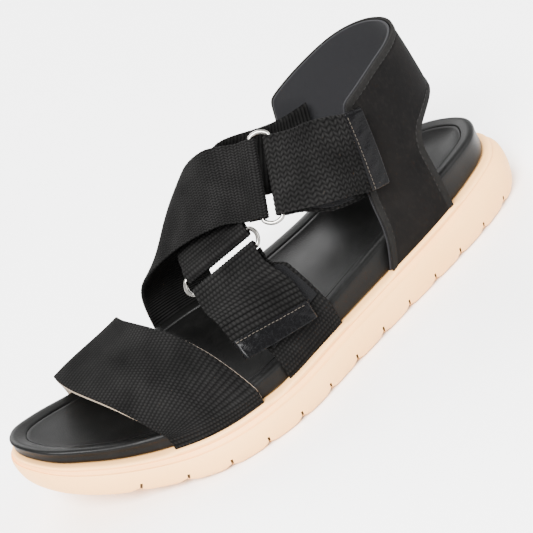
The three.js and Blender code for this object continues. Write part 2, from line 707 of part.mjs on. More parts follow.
// ---------------------------------------------------------------- assembly
const finishes = {
  sole: { color: 0xf2dfc9, roughness: 0.62 },
  board: { color: 0x9a8468, roughness: 0.9 },
  footbed: { color: 0x2b2a29, roughness: 0.5 },
  sock: { color: 0x262524, roughness: 0.55 },
  webbing: { color: 0x242322, roughness: 0.95 },
  lining: { color: 0x6b5a48, roughness: 0.95 },
  patch: { color: 0x1b1b1b, roughness: 1 },
  tip: { color: 0x161617, roughness: 0.3 },
  ring: { color: 0xd8d6d2, roughness: 0.2, metalness: 1 },
  nubuck: { color: 0x38342f, roughness: 0.9 },
};

const sandal = new THREE.Group();
function add(name, geometry, finish) {
  const bare = geometry.clone();
  bare.deleteAttribute('normal');
  bare.deleteAttribute('uv');
  const merged = mergeVertices(bare, 1e-4);
  merged.computeVertexNormals();
  const mesh = new THREE.Mesh(merged, new THREE.MeshStandardMaterial(finishes[finish]));
  mesh.name = name;
  sandal.add(mesh);
}

const TOE_PATH = [[-60.5, tuckedEnd(-60.5, -1)], [-60.5, -1], [-65, -0.75], [-70, -0.5], [-75, -0.25],
  [-78.5, 0], [-78, 0.3], [-76, 0.7], [-75, 1], [-75, tuckedEnd(-75, 1)]];
const toeRun = strapRun({
  points: TOE_PATH, width: TOE_STRAP_WIDTH, height: GAP, tucked: ['start', 'end'],
});
const toeFull = LINING + GAP + WEBBING;
const toeRoom = (from, to) => layer(toeRun, from, to, -GAP, toeFull + GAP, {
  width: TOE_STRAP_WIDTH + 2 * GAP,
});

const HELD_LOW = 0.4;
const HELD_HIGH = HELD_LOW + WEBBING + GAP;          // where one strap crosses over another
const RING_DROP = FOLD_OUT + GAP + WEBBING;          // ring's bar above the anchor's inner face

const upper = crossStrap({
  held: [[-27, tuckedEnd(-27, 1)], [-27, 1], [-26, 0.75], [-23.5, 0.45], [-19.5, 0.2], [-12.5, -0.01],
    [-1, -0.17], [16.5, -0.345]],
  heldHeight: HELD_HIGH,
  heldClimb: 6.4,
  ringHeight: HELD_LOW + RING_DROP,
  anchor: [[68, -0.68], [58, -0.655], [45, -0.6], [33, -0.52], [24, -0.42]],
  anchorHeight: HELD_LOW,
  flap: [[24, -0.42], [33, -0.48], [46, -0.55], [54, -0.59], [61, -0.612]],
  flapHeight: HELD_LOW + RING_DROP + FOLD_IN,
  flapClimb: 4.2,
  tucked: 'held',
});
const lower = crossStrap({
  held: [[66, 0.72], [50, 0.66], [30, 0.5], [8, 0.22], [-5, 0], [-11.5, -0.18], [-15.3, -0.36]],
  heldHeight: HELD_LOW,
  ringHeight: HELD_LOW + RING_DROP - 3,
  anchor: [[-9, tuckedEnd(-9, -1)], [-9, -1], [-11, -0.85], [-14, -0.66], [-16.5, -0.46]],
  anchorHeight: HELD_LOW,
  flap: [[-16.5, -0.46], [-17.7, -0.6], [-19, -0.75], [-20, -0.9]],
  flapHeight: HELD_LOW + RING_DROP + FOLD_IN - 1.2,
  tucked: 'anchor',
});

const slingRoom = slingLayer(-GAP, SLING_LINING + GAP + NUBUCK + GAP, GAP);
const rooms = [
  toeRoom(0, ROOM_LENGTH), toeRoom(toeRun.length - ROOM_LENGTH, toeRun.length),
  upper.room, lower.room, slingRoom, board(GAP),
];

add('sole_unit', soleUnit(rooms), 'sole');
add('insole_board', board(), 'board');
add('footbed', footbed(), 'footbed');
add('footbed_sock', sock(), 'sock');
const toeLayer = (low, high) => layer(toeRun, END_ROOM, toeRun.length - END_ROOM, low, high);
add('toe_strap_lining', toeLayer(0, LINING), 'lining');
add('toe_strap', toeLayer(LINING + GAP, toeFull), 'webbing');
for (const [where, pieces] of Object.entries({ upper, lower })) {
  add(`${where}_strap`, pieces.strap, 'webbing');
  add(`${where}_ring`, pieces.ring, 'ring');
  add(`${where}_anchor`, pieces.anchor, 'webbing');
  add(`${where}_anchor_loop`, pieces.anchorLoop, 'patch');
  add(`${where}_flap`, pieces.flap, 'webbing');
  add(`${where}_flap_hook`, pieces.flapHook, 'patch');
  add(`${where}_flap_tip`, pieces.flapTip, 'tip');
}
add('sling_lining', slingLayer(0, SLING_LINING), 'patch');
add('sling_shell', slingLayer(SLING_LINING + GAP, SLING_LINING + GAP + NUBUCK), 'nubuck');

// The part's own frame has its origin under the middle of its box.
const box = new THREE.Box3().setFromObject(sandal);
const middle = box.getCenter(new THREE.Vector3());
sandal.position.set(-middle.x, -middle.y, -box.min.z);

export default sandal;
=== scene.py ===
"""Strappy sport sandal, left foot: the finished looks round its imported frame.

The tables are drawn in millimetres, as a last maker draws them. `place` turns them into the
frame's metres. Toe at -X, heel at +X, outer side at -Y, +Z up.
"""
import math

import bpy
import numpy as np
from bpy.props import FloatProperty, FloatVectorProperty, IntProperty, PointerProperty
from mathutils import Matrix, Vector


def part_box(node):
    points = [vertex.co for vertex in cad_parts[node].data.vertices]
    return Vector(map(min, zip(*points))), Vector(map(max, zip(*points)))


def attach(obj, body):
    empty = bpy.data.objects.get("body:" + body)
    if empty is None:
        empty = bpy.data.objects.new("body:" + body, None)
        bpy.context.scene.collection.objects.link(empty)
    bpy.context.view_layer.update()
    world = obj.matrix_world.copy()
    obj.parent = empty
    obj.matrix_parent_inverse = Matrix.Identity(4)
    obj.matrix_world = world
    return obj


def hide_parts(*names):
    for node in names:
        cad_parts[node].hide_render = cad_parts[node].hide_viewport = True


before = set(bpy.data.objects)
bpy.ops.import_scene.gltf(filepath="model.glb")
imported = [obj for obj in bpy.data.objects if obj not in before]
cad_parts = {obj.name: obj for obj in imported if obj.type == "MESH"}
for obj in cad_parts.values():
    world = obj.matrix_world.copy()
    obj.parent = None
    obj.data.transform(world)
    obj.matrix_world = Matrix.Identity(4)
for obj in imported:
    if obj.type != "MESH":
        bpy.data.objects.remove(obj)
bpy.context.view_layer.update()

bl_info = {
    "name": "Strappy sport sandal",
    "version": (1, 0, 0),
    "blender": (4, 5, 0),
    "location": "View3D > Sidebar > Sandal",
    "description": "Webbing, sling, sole, footbed and rings of a strappy sport sandal",
    "category": "Object",
}

MM = 0.001


# ------------------------------------------------------------------ sizes a user may change

class SandalSoleSettings(bpy.types.PropertyGroup):
    color: FloatVectorProperty(
        name="Sole colour", description="Moulded foam of the sole", subtype="COLOR",
        size=3, min=0, max=1, default=(0.97, 0.53, 0.195))
    groove_width: FloatProperty(
        name="Groove width", description="Width of a cut across the tread", unit="LENGTH",
        default=1.05 * MM, min=0.2 * MM)
    groove_depth: FloatProperty(
        name="Groove depth", description="Height of a cut above the tread", unit="LENGTH",
        default=5.4 * MM, min=1 * MM)
    grooves: IntProperty(
        name="Grooves", description="Cuts across the tread", default=13, min=2)


class SandalWebbingSettings(bpy.types.PropertyGroup):
    color: FloatVectorProperty(
        name="Webbing colour", description="Yarn of every strap", subtype="COLOR",
        size=3, min=0, max=1, default=(0.0006, 0.0006, 0.0006))
    # Crown colour lightens the yarns' tops: partly wear, partly a painted highlight where light
    # catches the crowns.
    crown_wear_and_highlight_color: FloatVectorProperty(
        name="Crown colour", description="Worn tops of the yarns", subtype="COLOR",
        size=3, min=0, max=1, default=(0.0175, 0.0171, 0.0167))
    relief: FloatProperty(
        name="Relief", description="Height of the weave's crowns", unit="LENGTH",
        default=0.5 * MM, min=0, max=1 * MM)


class SandalSlingSettings(bpy.types.PropertyGroup):
    color: FloatVectorProperty(
        name="Nubuck colour", description="Unworn nubuck", subtype="COLOR",
        size=3, min=0, max=1, default=(0.0027, 0.0026, 0.00255))
    scuff_color: FloatVectorProperty(
        name="Scuff colour", description="Nubuck rubbed pale", subtype="COLOR",
        size=3, min=0, max=1, default=(0.0062, 0.0056, 0.0052))
    band: FloatProperty(
        name="Edge band", description="Width of the turned edge", unit="LENGTH",
        default=3.2 * MM, min=1 * MM)
    stitch: FloatProperty(
        name="Stitch length", description="One stitch with its gap", unit="LENGTH",
        default=2.9 * MM, min=1 * MM)


class SandalFootbedSettings(bpy.types.PropertyGroup):
    color: FloatVectorProperty(
        name="Footbed colour", description="Skin of the footbed", subtype="COLOR",
        size=3, min=0, max=1, default=(0.0022, 0.0022, 0.0021))


class SandalRingSettings(bpy.types.PropertyGroup):
    color: FloatVectorProperty(
        name="Nickel colour", description="Polished plating of the rings", subtype="COLOR",
        size=3, min=0, max=1, default=(0.24, 0.23, 0.212))


class SandalStageSettings(bpy.types.PropertyGroup):
    floor_color: FloatVectorProperty(
        name="Floor colour", description="Plain pale floor", subtype="COLOR",
        size=3, min=0, max=1, default=(0.97, 0.97, 0.97))
    lens: FloatProperty(
        name="Lens", description="Focal length of the camera in millimetres",
        default=101.55, min=10)


# ------------------------------------------------------------------ tables of the last and sole

WEBBING = 1.4              # thickness of the webbing
LINING = 0.9
NUBUCK = 1.3
SLING_LINING = 1.0
STRAP_WIDTH = 34.5
TOE_STRAP_WIDTH = 39.0
RING_WIRE = 2.2
RING_BAR_SPACING = 8.6
GAP = 0.3
TAB = 12.0                 # strap end turned under the footbed
CORNER = 1.2
TIP_WALL = 0.9
TIP_LENGTH = 8.5
RETURN = 6.5               # sewn-back end of a strap that holds a ring
PATCH = 0.6
SOCK_THICKNESS = 1.2
FOLD_IN = RING_WIRE / 2 + 0.25
FOLD_OUT = FOLD_IN + WEBBING
LOOP_LOW = WEBBING + 1.6 * GAP
HELD_LOW = 0.4
HELD_HIGH = HELD_LOW + WEBBING + GAP
RING_DROP = FOLD_OUT + GAP + WEBBING
S_SCALE = 90.0             # mm of girth per unit of s

OUTLINE = np.array([
    (-131, 9), (-124, -8), (-110, -19.5), (-91, -30), (-63, -45), (-31, -50), (3, -44),
    (39, -37.5), (72, -32), (99, -25.5), (118, -16), (126, 0), (118, 17), (99, 28.5),
    (70, 30.5), (35, 28), (0, 32), (-32, 41.5), (-62, 44), (-92, 40), (-113, 32.5),
    (-126, 23)], float)


def smoothstep(x, low, high):
    t = np.clip((np.asarray(x, float) - low) / (high - low), 0, 1)
    return t * t * (3 - 2 * t)


def unit(vectors):
    return vectors / np.maximum(np.linalg.norm(vectors, axis=-1, keepdims=True), 1e-12)


def through(pairs):
    """Smooth function through (x, y) pairs, held straight past both ends."""
    xs, ys = np.array(pairs, float).T
    last_one = len(xs) - 1
    left = np.maximum(np.arange(len(xs)) - 1, 0)
    right = np.minimum(np.arange(len(xs)) + 1, last_one)
    slopes = (ys[right] - ys[left]) / (xs[right] - xs[left])

    def value(x):
        x = np.asarray(x, float)
        i = np.clip(np.searchsorted(xs, x) - 1, 0, last_one - 1)
        run = xs[i + 1] - xs[i]
        t = (x - xs[i]) / run
        rise = ys[i + 1] - ys[i]
        bend = (slopes[i] * run - rise) * (1 - t) - (slopes[i + 1] * run - rise) * t
        inside = ys[i] + t * rise + t * (1 - t) * bend
        before = ys[0] + slopes[0] * (x - xs[0])
        after = ys[-1] + slopes[-1] * (x - xs[-1])
        return np.where(x < xs[0], before, np.where(x > xs[-1], after, inside))
    return value


def centripetal(points, closed, per_segment):
    """Points of a centripetal Catmull-Rom curve, `per_segment` to each of its segments."""
    n = len(points)
    segments = n if closed else n - 1
    result = []
    for k in range(segments):
        if closed:
            p0, p1, p2, p3 = (points[(k + j - 1) % n] for j in range(4))
        else:
            p1, p2 = points[k], points[k + 1]
            p0 = points[k - 1] if k > 0 else 2 * points[0] - points[1]
            p3 = points[k + 2] if k + 2 < n else 2 * points[-1] - points[-2]
        d0, d1, d2 = (max(np.linalg.norm(b - a) ** 0.5, 1e-4)
                      for a, b in ((p0, p1), (p1, p2), (p2, p3)))
        m1 = d1 * ((p1 - p0) / d0 - (p2 - p0) / (d0 + d1) + (p2 - p1) / d1)
        m2 = d1 * ((p2 - p1) / d1 - (p3 - p1) / (d1 + d2) + (p3 - p2) / d2)
        for t in np.arange(per_segment) / per_segment:
            result.append(p1 + m1 * t + (3 * (p2 - p1) - 2 * m1 - m2) * t * t
                          + (2 * (p1 - p2) + m1 + m2) * t ** 3)
    if not closed:
        result.append(points[-1])
    return np.array(result)


FINE = 16                  # outline points between two of the table's
outline = centripetal(OUTLINE, True, FINE)
TOE_X, HEEL_X = outline[:, 0].min(), outline[:, 0].max()


def edge_table(side):
    pairs = []
    following = np.roll(outline, -1, axis=0)
    for x in np.linspace(TOE_X + 1, HEEL_X - 1, 65):
        crossing = (outline[:, 0] - x) * (following[:, 0] - x) <= 0
        a, b = outline[crossing], following[crossing]
        y = a[:, 1] + (b[:, 1] - a[:, 1]) * (x - a[:, 0]) / (b[:, 0] - a[:, 0])
        pairs.append((x, side * (y * side).max()))
    return through(pairs)


EDGES = {-1: edge_table(-1), 1: edge_table(1)}


def edge(x, side):
    return np.where(np.asarray(side) < 0, EDGES[-1](x), EDGES[1](x))


junction = through([(-131, 36.6), (-116, 29.4), (-90, 19.6), (-63, 16.8), (-30, 17), (0, 17.6),
                    (50, 19), (90, 21), (126, 23)])
wall = through([(-131, 6.8), (-90, 7.3), (-63, 7.9), (-30, 8.8), (0, 10.1), (27, 12),
                (56, 13.7), (85, 14.1), (113, 12.8), (126, 11.4)])
swell = through([(-131, 0.55), (-105, 1), (0, 1), (126, 1)])
dish = through([(-131, 2), (-60, 2.6), (0, 3.6), (80, 5.5), (126, 6)])
TOE_SPRING = 21.0
SPRING_START = -58.0


def tread(x):
    ahead = np.maximum(0, SPRING_START - np.asarray(x, float))
    return TOE_SPRING * (ahead / (SPRING_START - TOE_X)) ** 2


def rim_height(x):
    return junction(x) + wall(x)


crest_y = through([(-110, 20), (-92, 19), (-60, 10), (-30, 11), (0, 13), (25, 8), (50, 3),
                   (75, 1)])
crest_z = through([(-110, 41), (-92, 44.5), (-60, 50.5), (-30, 62.5), (0, 86.5), (25, 101),
                   (50, 112), (75, 118)])
full_outer = through([(-110, 2.6), (-60, 2), (-30, 1.8), (0, 1.65), (25, 1.9), (50, 3.2),
                      (75, 4.5)])
full_inner = through([(-110, 2.8), (-60, 2.1), (-30, 1.85), (0, 1.9), (25, 2.2), (50, 2.6),
                      (75, 3)])
ankle_inset = through([(10, 0), (45, 4.4), (70, 2.6)])


def last(x, s):
    """The surface the straps lie on: `s` is 0 at the crest and 1 at the footbed's top edge,
    negative on the outer side; past 1, each 0.01 is a mm down the wall, then inwards."""
    x, s = np.broadcast_arrays(np.asarray(x, float), np.asarray(s, float))
    side = np.where(s < 0, -1.0, 1.0)
    base = rim_height(x)
    power = (2 / np.where(side < 0, full_outer(x), full_inner(x)))[..., None]
    angle = np.linspace(0, math.pi / 2, 41)
    foot, middle = edge(x, side)[..., None], crest_y(x)[..., None]
    y = middle + (foot - middle) * np.sin(angle) ** power
    z = base[..., None] + (crest_z(x) - base)[..., None] * np.maximum(0, np.cos(angle)) ** power
    inset = (side * ankle_inset(np.clip(x, 10, 70)))[..., None]
    y = y - inset * smoothstep(z, base[..., None], base[..., None] + 18)
    steps = np.hypot(np.diff(y, axis=-1), np.diff(z, axis=-1))
    length = np.concatenate([np.zeros_like(steps[..., :1]), np.cumsum(steps, axis=-1)], axis=-1)
    reach = np.minimum(np.abs(s), 1) * length[..., -1]
    i = np.clip((length < reach[..., None]).sum(axis=-1), 1, 40)[..., None]

    def pick(values, k):
        return np.take_along_axis(values, k, axis=-1)[..., 0]
    l0, l1 = pick(length, i - 1), pick(length, i)
    t = (reach - l0) / (l1 - l0)
    on_y = pick(y, i - 1) * (1 - t) + pick(y, i) * t
    on_z = pick(z, i - 1) * (1 - t) + pick(z, i) * t
    down = np.maximum(0, np.abs(s) - 1) * 100
    drop = wall(x) - CORNER
    turn = np.clip((down - drop) / CORNER, 0, math.pi / 2)
    inwards = np.maximum(0, down - drop - CORNER * math.pi / 2)
    past = np.abs(s) > 1
    off_y = y[..., -1] - side * (CORNER * (1 - np.cos(turn)) + inwards)
    off_z = z[..., -1] - np.minimum(down, drop) - CORNER * np.sin(turn)
    return np.stack([x, np.where(past, off_y, on_y), np.where(past, off_z, on_z)], axis=-1)


def frame_at(x, s):
    along = (last(x + 0.2, s) - last(x - 0.2, s)) / 0.4
    across_foot = (last(x, s + 0.002) - last(x, s - 0.002)) / 0.004
    return along, across_foot, unit(np.cross(along, across_foot))


def dot(a, b):
    return (a * b).sum(axis=-1)


def walk(x, s, heading, distance):
    """Walk from (x, s) over the last for a signed distance, starting towards `heading`."""
    strides = 6
    direction = heading
    for _ in range(strides):
        along, round_foot, normal = frame_at(x, s)
        direction = unit(direction - normal * dot(direction, normal)[..., None])
        aa, ar, rr = dot(along, along), dot(along, round_foot), dot(round_foot, round_foot)
        da, dr = dot(direction, along), dot(direction, round_foot)
        det = aa * rr - ar * ar
        x = x + distance / strides * (da * rr - dr * ar) / det
        s = s + distance / strides * (dr * aa - da * ar) / det
    return x, s


# ------------------------------------------------------------------ straps as runs of rows

ACROSS = 12                # coarse cells across a strap
ROW_STEP = 3.0


def tucked_end(x, side):
    return side * float(1 + (wall(x) + CORNER * (math.pi / 2 - 1) + TAB) / 100)


class StrapRun:
    """A strap's coarse rows along its centre line, at any lift above its inner face."""

    def __init__(self, points, width, height, bar=None, climb=0.0, tucked=()):
        table = np.array([(x, s * S_SCALE, 0) for x, s in points], float)
        curve = centripetal(table, False, 60)
        travelled = np.concatenate([[0], np.cumsum(np.linalg.norm(np.diff(curve, axis=0), axis=1))])
        self.length = travelled[-1]
        self.width, self.height, self.bar, self.climb = width, height, bar, climb
        self._curve, self._travelled = curve, travelled
        bends = np.linspace(TAB, TAB + CORNER * math.pi / 2, 5) * 0.01 * S_SCALE
        knots = []
        for end in tucked:
            knots.extend(bends if end == "start" else self.length - bends)
        even = np.linspace(0, self.length, int(math.ceil(self.length / ROW_STEP)) + 1)
        even = [r for r in even if all(abs(r - k) > 0.6 for k in knots)]
        self.reaches = np.array(sorted([*even, *knots]))

    def station(self, reach):
        reach = np.clip(np.asarray(reach, float), 0, self.length)
        at = [np.interp(reach, self._travelled, self._curve[:, k]) for k in (0, 1)]
        ahead = [np.interp(np.minimum(reach + 0.3, self.length), self._travelled,
                           self._curve[:, k]) for k in (0, 1)]
        behind = [np.interp(np.maximum(reach - 0.3, 0), self._travelled,
                            self._curve[:, k]) for k in (0, 1)]
        dx, ds = ahead[0] - behind[0], (ahead[1] - behind[1]) / S_SCALE
        x, s = at[0], at[1] / S_SCALE
        along, round_foot, normal = frame_at(x, s)
        heading = unit(along * dx[..., None] + round_foot * ds[..., None])
        return x, s, normal, unit(np.cross(normal, heading)), along

    def rows(self, reaches, lift, width=None):
        """Rows of points at each reach, `lift` above the strap's inner face."""
        reaches = np.asarray(reaches, float)
        width = self.width if width is None else width
        x, s, _, side, along = self.station(reaches)
        offsets = np.linspace(-width / 2, width / 2, ACROSS + 1)
        shape = (len(reaches), ACROSS + 1)
        spread = np.broadcast_to(offsets, shape)
        x0, s0 = np.broadcast_to(x[:, None], shape), np.broadcast_to(s[:, None], shape)
        wx, ws = walk(x0, s0, np.broadcast_to(side[:, None, :], (*shape, 3)), spread)
        level = smoothstep(np.abs(s), 0.92, 1)[:, None]
        beside = x0 + spread * np.sign(dot(side, along) / np.linalg.norm(along, axis=-1))[:, None]
        wx = wx * (1 - level) + beside * level
        ws = ws * (1 - level) + s0 * level
        raised = self.height + self.climb * smoothstep(reaches, self.length * 0.4,
                                                       self.length * 0.8)
        normal = frame_at(wx, ws)[2]
        on_foot = last(wx, ws) + normal * (raised + lift)[:, None, None]
        if self.bar is None:
            return on_foot
        away = self.length - reaches if self.bar["at_end"] else reaches
        flat = bar_rows(self.bar, away, self.bar["level"](away) + lift, width)
        held = 1 - smoothstep(away, self.bar["straight"], self.bar["straight"] + self.bar["blend"])
        return on_foot * (1 - held)[:, None, None] + flat * held[:, None, None]

    def layer(self, start, end, low, high, width=None):
        """Rows of the faces at `low` and `high` between two reaches."""
        between = self.reaches[(self.reaches > start + 0.6) & (self.reaches < end - 0.6)]
        reaches = np.array([start, *between, end])
        return self.rows(reaches, low, width), self.rows(reaches, high, width)


def relaxed(faces, start, end, rounds):
    """Both faces with the bends between their pinned end rows eased, as stretched webbing lies."""
    eased = []
    for rows in faces:
        rows = rows.copy()
        weight = np.ones(len(rows))
        weight[:start] = weight[-end:] = 0
        weight[start:start + 3] = (0.25, 0.5, 0.75)
        weight[-end - 3:-end] = (0.75, 0.5, 0.25)
        for _ in range(rounds):
            mean = (rows[:-2] + rows[2:]) / 2
            rows[1:-1] += 0.5 * weight[1:-1, None, None] * (mean - rows[1:-1])
        eased.append(rows)
    return tuple(eased)


def bar_rows(bar, away, up, width):
    """Straight rows level with a ring's bar, `away` from it and `up` from its centre."""
    away, up = np.broadcast_arrays(np.asarray(away, float), np.asarray(up, float))
    offsets = np.linspace(-width / 2, width / 2, ACROSS + 1)
    middle = bar["centre"] - bar["heading"] * away[:, None] + bar["normal"] * up[:, None]
    return middle[:, None, :] + bar["side"] * offsets[None, :, None]


def fold_rows(bar, radius, start, end, width):
    angle = np.radians(np.linspace(start, end, 15))
    return bar_rows(bar, radius * np.cos(angle), radius * np.sin(angle), width)


def ring_frame(run, height):
    x, s, normal, side, _ = (v[0] for v in run.station([run.length]))
    heading = unit(np.cross(side, normal))
    near = last(x, s) + normal * height

    def held_level(away):
        return FOLD_IN + (GAP - 2 * FOLD_IN) * smoothstep(away, 1.5, RETURN)
    axes = {"normal": normal, "side": side}
    return {
        "near": {**axes, "centre": near, "heading": heading, "at_end": True,
                 "straight": RETURN, "blend": 11, "level": held_level},
        "far": {**axes, "centre": near + heading * RING_BAR_SPACING, "heading": -heading},
    }


CROSS_STRAPS = {
    "upper": {
        "held": [(-27, tucked_end(-27, 1)), (-27, 1), (-26, 0.75), (-23.5, 0.45), (-19.5, 0.2),
                 (-12.5, -0.01), (-1, -0.17), (16.5, -0.345)],
        "held_height": HELD_HIGH, "held_climb": 6.4, "ring_height": HELD_LOW + RING_DROP,
        "anchor": [(68, -0.68), (58, -0.655), (45, -0.6), (33, -0.52), (24, -0.42)],
        "flap": [(24, -0.42), (33, -0.48), (46, -0.55), (54, -0.59), (61, -0.612)],
        "flap_height": HELD_LOW + RING_DROP + FOLD_IN, "flap_climb": 4.2, "tucked": "held",
    },
    "lower": {
        "held": [(66, 0.72), (50, 0.66), (30, 0.5), (8, 0.22), (-5, 0), (-11.5, -0.18),
                 (-15.3, -0.36)],
        "held_height": HELD_LOW, "held_climb": 0.0, "ring_height": HELD_LOW + RING_DROP - 3,
        "anchor": [(-9, tucked_end(-9, -1)), (-9, -1), (-11, -0.85), (-14, -0.66),
                   (-16.5, -0.46)],
        "flap": [(-16.5, -0.46), (-17.7, -0.6), (-19, -0.75), (-20, -0.9)],
        "flap_height": HELD_LOW + RING_DROP + FOLD_IN - 1.2, "flap_climb": 0.0,
        "tucked": "anchor",
    },
}
TOE_PATH = [(-60.5, tucked_end(-60.5, -1)), (-60.5, -1), (-65, -0.75), (-70, -0.5), (-75, -0.25),
            (-78.5, 0), (-78, 0.3), (-76, 0.7), (-75, 1), (-75, tucked_end(-75, 1))]


def cross_strap(where):
    """The runs and the ring's frame of one cross strap."""
    plan = CROSS_STRAPS[where]
    ends = {piece: ("start",) if plan["tucked"] == piece else () for piece in ("held", "anchor")}
    free = StrapRun(plan["held"], STRAP_WIDTH, plan["held_height"])
    bars = ring_frame(free, plan["ring_height"])
    held = StrapRun(plan["held"], STRAP_WIDTH, plan["held_height"], bars["near"],
                    plan["held_climb"], ends["held"])
    anchor_bar = {**bars["far"], "side": -bars["far"]["side"], "at_end": True, "straight": 5,
                  "blend": 16, "level": lambda away: -FOLD_OUT - GAP - WEBBING + 0 * away}
    anchor = StrapRun(plan["anchor"], STRAP_WIDTH, HELD_LOW, anchor_bar, 0.0, ends["anchor"])
    flap_bar = {**bars["far"], "at_end": False, "straight": 6, "blend": 16,
                "level": lambda away: FOLD_IN + 0 * away}
    flap = StrapRun(plan["flap"], STRAP_WIDTH, plan["flap_height"], flap_bar,
                    plan["flap_climb"])
    return {"bars": bars, "held": held, "anchor": anchor, "flap": flap}


# ------------------------------------------------------------------ meshes

def shift_to_frame():
    """From the drawing's origin to the frame's, by the footbed's own box."""
    low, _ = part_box("footbed")
    drawn_x = outline[:, 0].min() + FOOTBED_SKIN
    drawn_y = outline[:, 1].min() + FOOTBED_SKIN
    return np.array([low.x / MM - drawn_x, low.y / MM - drawn_y, 0])


FOOTBED_SKIN = 0.1         # the footbed stands this far inside the outline
SHIFT = shift_to_frame()


def place(points):
    return (np.asarray(points, float) + SHIFT) * MM


def mesh_object(name, points, faces, material):
    mesh = bpy.data.meshes.new(name)
    mesh.from_pydata(place(points).tolist(), [], faces)
    mesh.validate()
    piece = bpy.data.objects.new(name, mesh)
    bpy.context.scene.collection.objects.link(piece)
    mesh.materials.append(material)
    mesh.polygons.foreach_set("use_smooth", np.full(len(mesh.polygons), True))
    mesh.update()
    return piece


def select_only(piece):
    bpy.ops.object.select_all(action="DESELECT")
    piece.select_set(True)
    bpy.context.view_layer.objects.active = piece


def face_outwards(piece):
    select_only(piece)
    bpy.ops.object.mode_set(mode="EDIT")
    bpy.ops.mesh.select_all(action="SELECT")
    bpy.ops.mesh.normals_make_consistent(inside=False)
    bpy.ops.object.mode_set(mode="OBJECT")


def store(piece, name, values):
    """A value for each vertex that a material reads by name."""
    attribute = piece.data.attributes.new(name, "FLOAT", "POINT")
    attribute.data.foreach_set("value", np.asarray(values, np.float32).ravel())


def store_uv(piece, u, v):
    """The piece's own flat layout in metres, along and across."""
    layer = piece.data.uv_layers.new(name="UVMap")
    loops = np.zeros(len(piece.data.loops), np.int64)
    piece.data.loops.foreach_get("vertex_index", loops)
    flat = np.stack([np.ravel(u)[loops], np.ravel(v)[loops]], axis=1) * MM
    layer.data.foreach_set("uv", flat.astype(np.float32).ravel())


def resample(grid, old, new):
    """Cubic rows of a grid at new places along its first axis."""
    slopes = np.gradient(grid, old, axis=0)
    i = np.clip(np.searchsorted(old, new) - 1, 0, len(old) - 2)
    run = old[i + 1] - old[i]
    shape = (-1,) + (1,) * (grid.ndim - 1)
    t = ((new - old[i]) / run).reshape(shape)
    run = run.reshape(shape)
    a, b = grid[i], grid[i + 1]
    bend = (slopes[i] * run - (b - a)) * (1 - t) - (slopes[i + 1] * run - (b - a)) * t
    return a + t * (b - a) + t * (1 - t) * bend


def weave_dots(u, v, pitch):
    """Staggered crowns between deep grooves that run across the strap."""
    row = np.floor(u / pitch[0])
    crown_u = np.abs(np.sin(math.pi * u / pitch[0])) ** 0.75
    crown_v = np.abs(np.sin(math.pi * (v / pitch[1] + 0.5 * (row % 2)))) ** 0.8
    return crown_u * (0.25 + 0.75 * crown_v)


def weave_chevrons(u, v, pitch):
    """Columns of slanted yarns whose slant turns from column to column."""
    column = np.floor(u / pitch[0])
    local = u / pitch[0] - column
    lean = np.where(column % 2 == 0, 1.0, -1.0)
    yarn = np.abs(np.sin(math.pi * (v / pitch[1] + 0.7 * lean * (local - 0.5)))) ** 0.8
    return yarn * (0.35 + 0.65 * np.abs(np.sin(math.pi * local)) ** 0.6)


EDGE_POINTS = 5            # across a band's rounded edge
CROWN_MEAN = 0.6           # a weave's height that stays level with the band's face


def places_across(width, step, round_edge):
    """Places across a band's outer face from edge to edge, and back across its inner face."""
    half = width / 2
    count = max(6, int(width / step))
    top = np.linspace(-half, half, count)
    rim = half - round_edge * (1 - np.cos(np.linspace(0, math.pi / 2, EDGE_POINTS)))
    top = np.unique(np.concatenate([top[np.abs(top) < half - round_edge], rim, -rim]))
    return top, np.linspace(half, -half, max(8, count // 4))[1:-1]


def closed_band(name, points, material):
    """A shell from rows of points that go round a band's section, closed at both ends."""
    rows, columns = points.shape[:2]
    index = np.arange(rows * columns).reshape(rows, columns)
    following = np.roll(index, -1, axis=0)
    quads = np.stack([index[:, :-1], index[:, 1:], following[:, 1:], following[:, :-1]], axis=-1)
    ends = [index[:, 0].tolist(), index[::-1, -1].tolist()]
    piece = mesh_object(name, points.reshape(-1, 3), quads.reshape(-1, 4).tolist() + ends,
                        material)
    turn_outwards(piece)
    return piece


